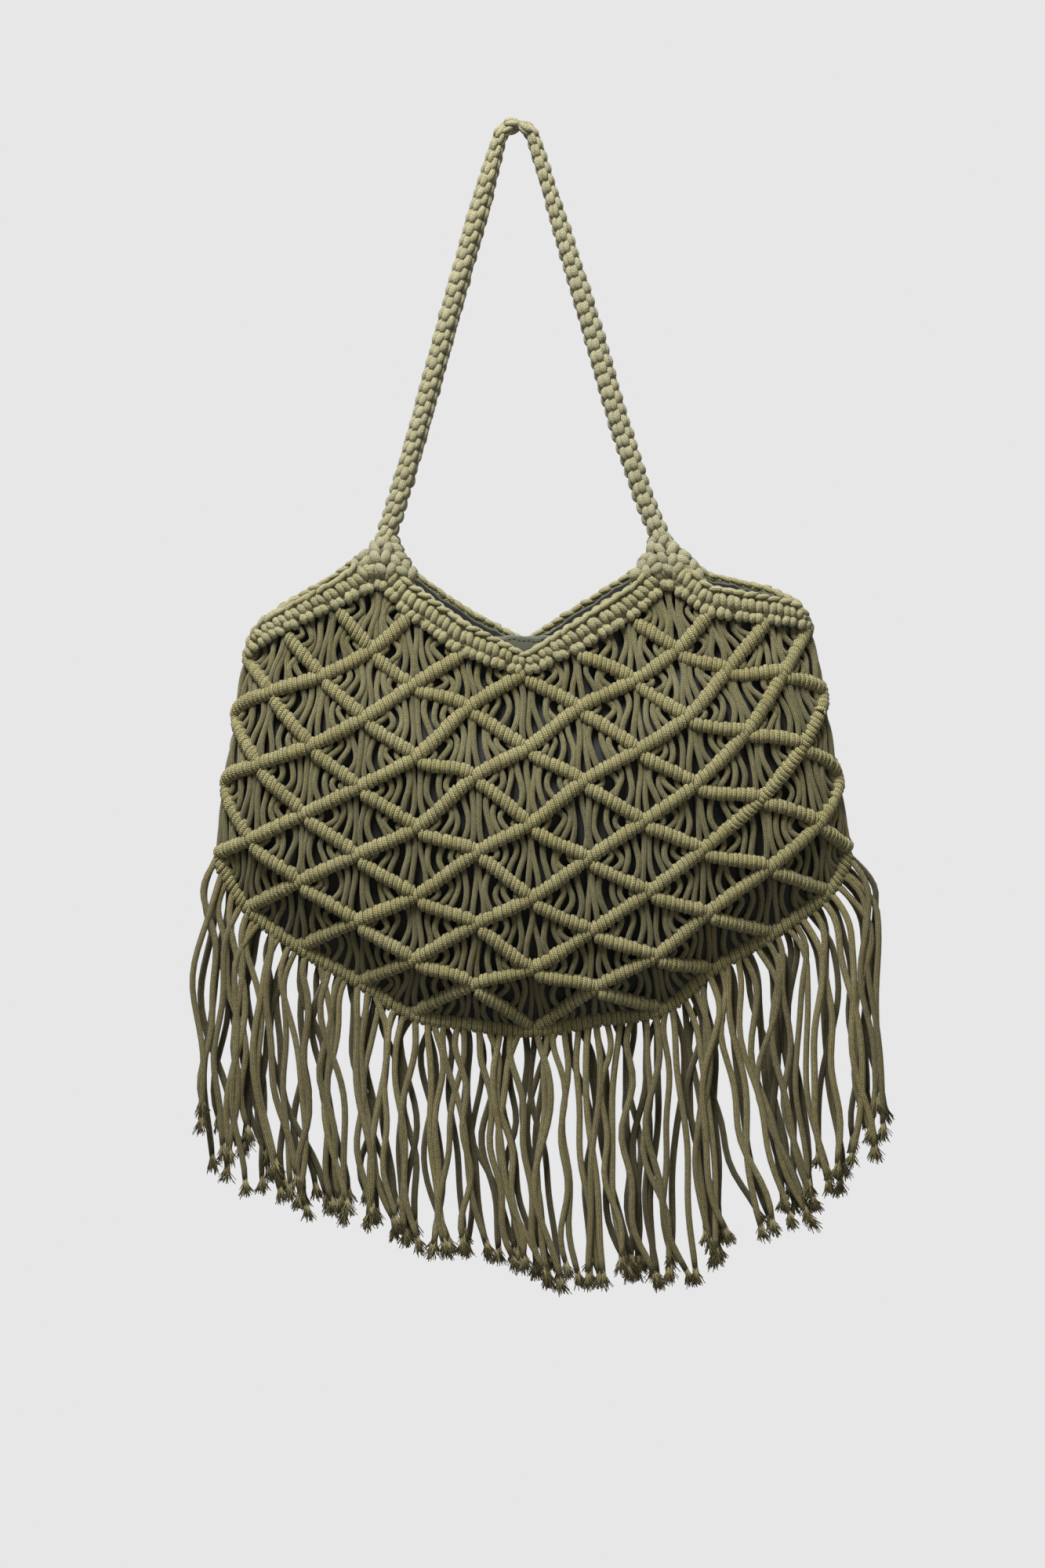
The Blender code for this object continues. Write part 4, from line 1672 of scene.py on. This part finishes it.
# The lining.
@dataclass
class Lining:
    """A cloth pouch inside the net, hemmed along the mouth with one line of stitches."""

    form: BagForm
    wall: float = 0.0012
    least_gap: float = 0.0012
    clearance: float = 0.0010
    side_inset: float = 0.006
    bottom_inset: float = 0.001
    middle_drop: float = 0.0022
    front_drop: float = 0.0030
    back_drop: float = 0.0040
    foot_drop: float = 0.0030
    bridge: float = 0.0095
    bridge_step: float = 0.0012
    bridge_reach: float = 1.5
    waves: tuple[float, float] = (0.0006, 0.0004)
    rows: int = 26
    columns: int = 97
    row_crowding: float = 1.6
    # Painted shade: the cloth's tone runs from lit at the hem down to dark within lit_reach below it.
    lit: float = 0.85
    dark: float = 0.10
    lit_reach: float = 0.024
    stitch_radius: float = 0.00022
    stitch_length: float = 0.0018
    stitch_spacing: float = 0.0028
    stitch_drop: float = 0.0022
    cut: tuple[float, float] = (0.78, 0.25)
    cut_area: float = 0.155

    def hem_height_at(self, c: float, side: int) -> float:
        """Height of the hem, which bridges the deep middle of the mouth nearly level.

        Args:
            c: Column.
            side: Front or back.

        Returns:
            The height.
        """
        rim = self.form.rim_point(c, side, 1.0)[2]
        reach = self.bridge_reach
        near_middle = smooth_step(1 - (abs(c - MIDDLE) - reach) / reach)
        drop = self.middle_drop * near_middle + self.front_drop * (1 - near_middle)
        hem = rim - (drop if side == Side.FRONT else self.back_drop)
        level = self.form.rim_point(MIDDLE, Side.FRONT, 1.0)[2] + self.bridge
        if abs(c - MIDDLE) < reach:
            hem = max(hem, level - self.bridge_step * (side == Side.BACK))
        from_foot = min(abs(c - foot) for foot in FOOT_COLUMNS)
        long_wave, short_wave = self.waves
        wave = long_wave * math.sin(9.1 * c + side) + short_wave * math.sin(23.0 * c)
        return hem - self.foot_drop * max(0.0, 1 - from_foot) + wave

    def depth(self, c: float, fall: float) -> float:
        """Half the depth of the pouch, clear of the net and the rims.

        Args:
            c: Column.
            fall: How far down the net, from 0 at the mouth to 1 at the seam.

        Returns:
            The distance from the bag's middle plane.
        """
        inset = self.form.rim_thickness / 2 + self.clearance
        step = 0.02
        fall = min(max(fall, 0.0), 1.0)
        low, high = max(fall - step, 0.0), min(fall + step, 1.0)
        column = self.form.column_at(c)
        tall = self.form.body_height * (column.drop_bottom - column.drop_top) * (high - low)
        lean = (self.form.half_depth(c, high) - self.form.half_depth(c, low)) / tall
        room = self.form.half_depth(c, fall) - inset * math.hypot(1.0, lean)
        return max(room, self.wall + self.least_gap / 2)

    def stations(self) -> np.ndarray:
        """Finds the columns at which the pouch is built.

        Returns:
            The columns, from the pouch's left side to its right side.
        """
        first, second = NET_COLUMNS[0], NET_COLUMNS[1]
        left = self.side_inset / (self.form.body_width * (second.x_top - first.x_top))
        first, second = NET_COLUMNS[LAST - 1], NET_COLUMNS[LAST]
        right = LAST - self.side_inset / (self.form.body_width * (second.x_top - first.x_top))
        return np.linspace(left, right, self.columns)

    def point(self, c: float, down: float, side: int) -> np.ndarray:
        """A point of the pouch.

        Args:
            c: Column.
            down: 0 at the hem and 1 at the pouch's own seam.
            side: Front or back.

        Returns:
            The point.
        """
        form = self.form
        column = form.column_at(c)
        hem = self.hem_height_at(c, side)
        z = hem + (form.seam_point(c)[2] + self.bottom_inset - hem) * down
        lift = form.back_lift * column.lift if side == Side.BACK else 0.0
        top = form.height(column.drop_top) + lift
        fall = (top - z) / (top - form.height(column.drop_bottom))
        x = form.across(column, min(max(fall, 0.0), 1.0))
        return np.array((x, side * self.depth(c, fall), z))

    def build(self, finish: bpy.types.Material) -> None:
        """Makes the pouch with its stitches.

        Args:
            finish: The cloth's material, which the thread has too.
        """
        cloth = self.build_cloth(finish)
        stitches = self.build_stitches(finish)

    def build_cloth(self, finish: bpy.types.Material) -> bpy.types.Object:
        """Makes the pouch.

        Args:
            finish: Its material.

        Returns:
            The piece.
        """
        stations = self.stations()
        index: dict[tuple[int, int, int], int] = {}
        points: list[np.ndarray] = []
        tones: list[float] = []
        faces = []
        end = len(stations) - 1

        def corner(i: int, j: int, side: int) -> int:
            """Finds a point of the pouch, which is added at its first use.

            Args:
                i: Its column.
                j: Its row.
                side: Front or back.

            Returns:
                Its number.
            """
            joined = i in (0, end) or j == self.rows
            key = (i, j, 0 if joined else side)
            if key not in index:
                down = (j / self.rows) ** self.row_crowding
                spot = self.point(stations[i], down, Side.FRONT if joined else side)
                index[key] = len(points)
                points.append(spot * (1, 0 if joined else 1, 1))
                # Painted shade: darker below the hem, and dark all over on the back but for its hem
                # row.
                below = self.hem_height_at(stations[i], side) - spot[2]
                light = self.lit if side == Side.FRONT or j == 0 else self.dark
                fade = smooth_step(below / self.lit_reach)
                tones.append(light - (light - self.dark) * fade)
            return index[key]

        for side in (Side.FRONT, Side.BACK):
            for i in range(end):
                for j in range(self.rows):
                    around = ((i, j), (i, j + 1), (i + 1, j + 1), (i + 1, j))
                    face = [corner(*spot, side) for spot in around]
                    faces.append(face if side == Side.FRONT else face[::-1])
        mesh = bpy.data.meshes.new("lining_cloth")
        mesh.from_pydata(points, [], faces)
        shades = mesh.attributes.new("tone", "FLOAT", "POINT")
        shades.data.foreach_set("value", np.array(tones, np.float32))
        weave = mesh.uv_layers.new(name="weave")
        flat = np.array([points[loop.vertex_index] for loop in mesh.loops])[:, (0, 2)]
        weave.data.foreach_set("uv", flat.astype(np.float32).ravel())
        piece = add_object("lining_cloth", mesh)
        bpy.context.view_layer.objects.active = piece
        wall = piece.modifiers.new("cloth", "SOLIDIFY")
        wall.thickness = self.wall
        wall.offset = -1.0
        bpy.ops.object.modifier_apply(modifier=wall.name)
        mesh.polygons.foreach_set("use_smooth", np.ones(len(mesh.polygons), bool))
        place(piece, finish, "lining_cloth", ("lining",))
        return piece

    def build_stitches(self, finish: bpy.types.Material) -> bpy.types.Object:
        """Makes the line of thread that holds the hem.

        Args:
            finish: Its material.

        Returns:
            The piece.
        """
        mesh = CordMesh()
        first, last = self.stations()[[0, -1]]
        places = np.linspace(0, self.stitch_length, 4)
        for side in Side:
            columns = np.linspace(first + 0.1, last - 0.1, 900)
            path = np.array([self.point(c, 0.0, side) for c in columns])
            path += (0.0, side * 0.0001, -self.stitch_drop)
            for n in range(int(lengths_along(path)[-1] / self.stitch_spacing)):
                stitch = at_lengths(path, n * self.stitch_spacing + places)
                stitch[1:3, 1] += side * 0.0002
                mesh.add_cord(stitch, self.stitch_radius, around=5, tone=0.9)
        piece = mesh.make("hem_stitches")
        place(piece, finish, "lining_cloth", ())
        return piece


# The fringe.
class Wave(NamedTuple):
    """A wave along a hanging cord: its height, and its least and most turns in the cord."""

    tall: float
    low: float
    high: float


@dataclass
class Fringe:
    """One layer of the fringe: loose cords that hang from the seam and fray at their tips."""

    lattice: NetLattice
    side: Side
    cords: int = 69
    lengths: tuple[float, ...] = (0.147, 0.148, 0.131, 0.126, 0.137, 0.147, 0.147, 0.148, 0.145)
    ragged: float = 0.05
    radius: float = 0.00188
    gap: float = 0.0022
    layer: float = 0.0030
    bundle_spacing: float = 0.017
    upright_at: float = 0.42
    lean: float = 0.0120
    lean_uneven: float = 0.0030
    drift: float = 0.0045
    drift_uneven: float = 0.0055
    curl: float = 0.0075
    curl_uneven: float = 0.0070
    curl_from: float = 0.40
    sweep: float = 0.020
    sweep_at: float = 0.80
    sweep_reach: float = 0.06
    waves: tuple[Wave, ...] = (Wave(0.0046, 0.5, 1.2), Wave(0.0020, 1.5, 2.6))
    tones: tuple[float, float] = (0.72, 1.04)
    inner_side_shade: float = 0.42
    strands: int = 52
    strand_radius: float = 0.00040
    strand_lengths: tuple[float, float] = (0.0075, 0.0125)
    strand_tones: tuple[float, float] = (0.80, 1.40)
    splays: tuple[float, float] = (0.15, 1.00)

    def build(self, finish: bpy.types.Material) -> None:
        """Makes the layer.

        Args:
            finish: Its material.
        """
        rng = random.Random(40 + self.side)
        seam = self.lattice.seam()
        total = lengths_along(seam)[-1]
        mesh = CordMesh()
        bundles = np.arange(seam[0][0], seam[-1][0], self.bundle_spacing)
        bundles += np.array([rng.uniform(-0.4, 0.4) for _ in bundles]) * self.bundle_spacing
        for n in range(self.cords):
            share = (n + 0.5 + rng.uniform(-0.38, 0.38)) / self.cords
            start = at_lengths(seam, np.array([share * total]))[0]
            bundle = bundles[np.argmin(np.abs(bundles - start[0]))]
            pull = (bundle - start[0]) * rng.uniform(0.1, 0.9)
            self.add_hanging(mesh, start, share, pull, rng)
        name = f"fringe_{self.side.name.lower()}"
        place(mesh.make(f"{name}_cords"), finish, "fringe_cord", (name,))

    def add_hanging(
        self, mesh: CordMesh, start: np.ndarray, share: float, pull: float, rng: random.Random
    ) -> None:
        """Adds one hanging cord with its frayed tip.

        Args:
            mesh: The mesh to add to.
            start: The point of the seam that it hangs from.
            share: Where along the seam that is, from 0 to 1.
            pull: How far its lower part moves across to the bundle that it hangs in.
            rng: Source of its length, waves and fray.
        """
        places = np.linspace(0, 1, len(self.lengths))
        length = float(np.interp(share, places, self.lengths))
        length *= 1 + rng.uniform(-self.ragged, self.ragged)
        down = np.concatenate([np.linspace(0, 0.16, 6)[:-1], np.linspace(0.16, 1, 17)])
        held = 1 - (1 - np.minimum(down * 6, 1)) ** 2
        outward = (share - self.upright_at) * 2
        lean = self.lean * outward * abs(outward) + rng.gauss(0, self.lean_uneven)
        drift = self.drift * max(outward, 0) ** 2 + rng.gauss(0, self.drift_uneven)
        curl = rng.gauss(self.curl, self.curl_uneven) * math.sin(math.pi * min(share + 0.1, 1.0))
        swept = math.exp(-(((share - self.sweep_at) / self.sweep_reach) ** 2))
        curl += self.sweep * swept * rng.uniform(0.4, 1.0)
        deep = self.gap + rng.uniform(0, 1) * self.layer
        path = np.empty((len(down), 3))
        path[:, 0] = start[0] + lean * held + drift * down
        path[:, 0] += curl * np.maximum(0, (down - self.curl_from) / (1 - self.curl_from)) ** 2
        path[:, 0] += pull * np.array([smooth_step(2 * d) for d in down])
        for wave in self.waves:
            turns, phase = rng.uniform(wave.low, wave.high), rng.uniform(0, 2 * math.pi)
            swing = np.sin(2 * math.pi * turns * down + phase) - math.sin(phase)
            path[:, 0] += wave.tall * rng.uniform(0.3, 1.2) * held * swing
        path[:, 1] = self.side * (0.0008 + deep * held)
        path[:, 1] += 0.0012 * down * np.sin(4 * down + rng.uniform(0, 2 * math.pi))
        path[:, 2] = start[2] - 0.0015 - length * down
        flare = 1 - 0.15 * np.maximum(0, (down - 0.95) / 0.05)
        wide = self.radius * rng.uniform(0.93, 1.07) * flare
        tone = rng.uniform(*self.tones)
        out = np.array((0.0, float(self.side), 0.0))
        # Painted shade: the side of the cord that faces into the fringe is darker.
        mesh.add_cord(path, wide, out, 7, tone, rng.uniform(0, 9), inner_shade=self.inner_side_shade)
        self.add_fray(mesh, path[-1], unit(path[-1] - path[-3]), rng)

    def add_fray(
        self, mesh: CordMesh, tip: np.ndarray, down: np.ndarray, rng: random.Random
    ) -> None:
        """Adds the loose strands at a cord's tip.

        Args:
            mesh: The mesh to add to.
            tip: The end of the cord.
            down: The cord's direction there.
            rng: Source of the strands' directions.
        """
        for n in range(self.strands):
            turn = 2 * math.pi * (n + rng.random()) / self.strands
            rim = np.array((math.cos(turn), math.sin(turn), 0.0))
            share = math.sqrt((n + 0.5) / self.strands)
            splay = rng.uniform(*self.splays) * share
            long = rng.uniform(*self.strand_lengths)
            root = tip + rim * self.radius * share * 0.62 - down * rng.uniform(0.0010, 0.0040)
            way = unit(down + rim * splay * 0.22)
            skew = np.array((rng.uniform(-0.3, 0.3), rng.uniform(-0.3, 0.3), 0.0))
            bent = unit(down + rim * splay + skew)
            path = np.array((root, root + way * long * 0.5, root + (way + bent) * long * 0.5))
            wide = self.strand_radius * np.array((1.0, 1.0, 0.60)) * rng.uniform(0.8, 1.2)
            tone = rng.uniform(*self.strand_tones)
            mesh.add_cord(path, wide, (0.3, 1.0, 0.2), 3, tone, 0.5, stitch=1.0)


# The studio.
class SoftLight(NamedTuple):
    """A square soft light: its name, place, side and power in watts."""

    name: str
    spot: tuple[float, float, float]
    size: float
    power: float


@dataclass
class Studio:
    """The camera, the pale ground and the soft lights."""

    distance: float = 2.07
    elevation: float = 5.0
    target: tuple[float, float, float] = (0.0034, 0.0, -0.370)
    metres_a_pixel: float = 0.00045
    picture: tuple[int, int] = (1333, 2000)
    ground: str = "#E7E7E7"
    ambient: float = 0.22
    ground_radius: float = 6.0
    floor_height: float = -1.05
    floor_depth: float = 4.0
    lights: tuple[SoftLight, ...] = (
        SoftLight("key_light", (-0.50, -1.15, 1.65), 0.8, 82.0),
        SoftLight("fill_light", (1.2, -1.9, 0.1), 1.4, 3.5),
        SoftLight("back_light", (0.4, 1.7, 1.6), 1.2, 30.0),
    )

    def build(self) -> None:
        """Makes the camera, the lights and the ground."""
        self.add_camera()
        self.add_ground()
        for light in self.lights:
            self.add_light(light)
        bpy.context.scene.view_settings.view_transform = "Standard"
        bpy.context.scene.view_settings.look = "None"

    def add_camera(self) -> None:
        """Makes the camera, at the angle judged from the photo."""
        data = bpy.data.cameras.new("camera")
        camera = add_object("camera", data)
        angle = math.radians(self.elevation)
        back = Vector((0.0, -math.cos(angle), math.sin(angle)))
        camera.location = Vector(self.target) + back * self.distance
        camera.rotation_mode = "QUATERNION"
        camera.rotation_quaternion = (-back).to_track_quat("-Z", "Y")
        tall = self.picture[1] * self.metres_a_pixel
        data.sensor_fit = "AUTO"
        data.lens = data.sensor_width * self.distance / tall
        data.clip_start, data.clip_end = 0.05, 30.0
        bpy.context.scene.camera = camera

    def add_light(self, light: SoftLight) -> None:
        """Adds a soft light that shines at the bag.

        Args:
            light: Its place, size and power.
        """
        data = bpy.data.lights.new(light.name, "AREA")
        data.size = light.size
        data.energy = light.power
        lamp = add_object(light.name, data)
        lamp.location = light.spot
        aim = Vector(self.target) - Vector(light.spot)
        lamp.rotation_mode = "QUATERNION"
        lamp.rotation_quaternion = aim.to_track_quat("-Z", "Y")

    def add_ground(self) -> None:
        """Makes the pale floor that runs up into a pale wall, and the even light round them."""
        bpy.ops.object.select_all(action="DESELECT")
        bpy.ops.mesh.primitive_uv_sphere_add(
            segments=48,
            ring_count=24,
            radius=self.ground_radius,
            location=(0.0, 0.0, self.floor_height + self.floor_depth),
        )
        ground = bpy.context.object
        ground.name = "pale_ground"
        for spot in ground.data.vertices:
            spot.co.z = max(spot.co.z, -self.floor_depth)
        bpy.ops.object.transform_apply(location=True, rotation=True, scale=True)
        bpy.ops.object.shade_smooth()
        paint, tree = new_material("pale_paint")
        glow = add_node(tree, "ShaderNodeEmission", {"Color": linear(self.ground), "Strength": 1.0})
        add_node(tree, "ShaderNodeOutputMaterial", {"Surface": glow.outputs[0]})
        ground.data.materials.append(paint)
        ground.visible_diffuse = False
        ground.visible_glossy = False
        ground.visible_shadow = False
        world = bpy.data.worlds.new("studio")
        world.use_nodes = True
        sky = world.node_tree.nodes["Background"]
        sky.inputs["Color"].default_value = linear(self.ground)
        sky.inputs["Strength"].default_value = self.ambient
        bpy.context.scene.world = world


# How far each rim's rows lie below their middle place, as a share of the rim's height.
ROWS_LOWERED = {Side.FRONT: 0.04, Side.BACK: 0.02}


def main() -> None:
    """Builds the bag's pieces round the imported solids, in order."""
    logging.basicConfig(level=logging.INFO, format="%(name)s: %(message)s")
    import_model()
    bpy.ops.object.select_all(action="DESELECT")
    Studio().build()
    form = BagForm()
    lattice = NetLattice(form)
    net_cotton = NET_FINISH.material()
    rim_cotton = RIM_FINISH.material()
    fringe_cotton = FRINGE_FINISH.material()
    cloth = LINING_FINISH.material()
    NetRibs(lattice).build(net_cotton)
    NetFans(lattice).build(net_cotton)
    for side in Side:
        RimBand(form, side, ROWS_LOWERED[side]).build(rim_cotton)
    Handle(form).build(HANDLE_FINISH.material())
    Lining(form).build(cloth)
    for side in Side:
        Fringe(lattice, side).build(fringe_cotton)


if __name__ == "__main__":
    main()
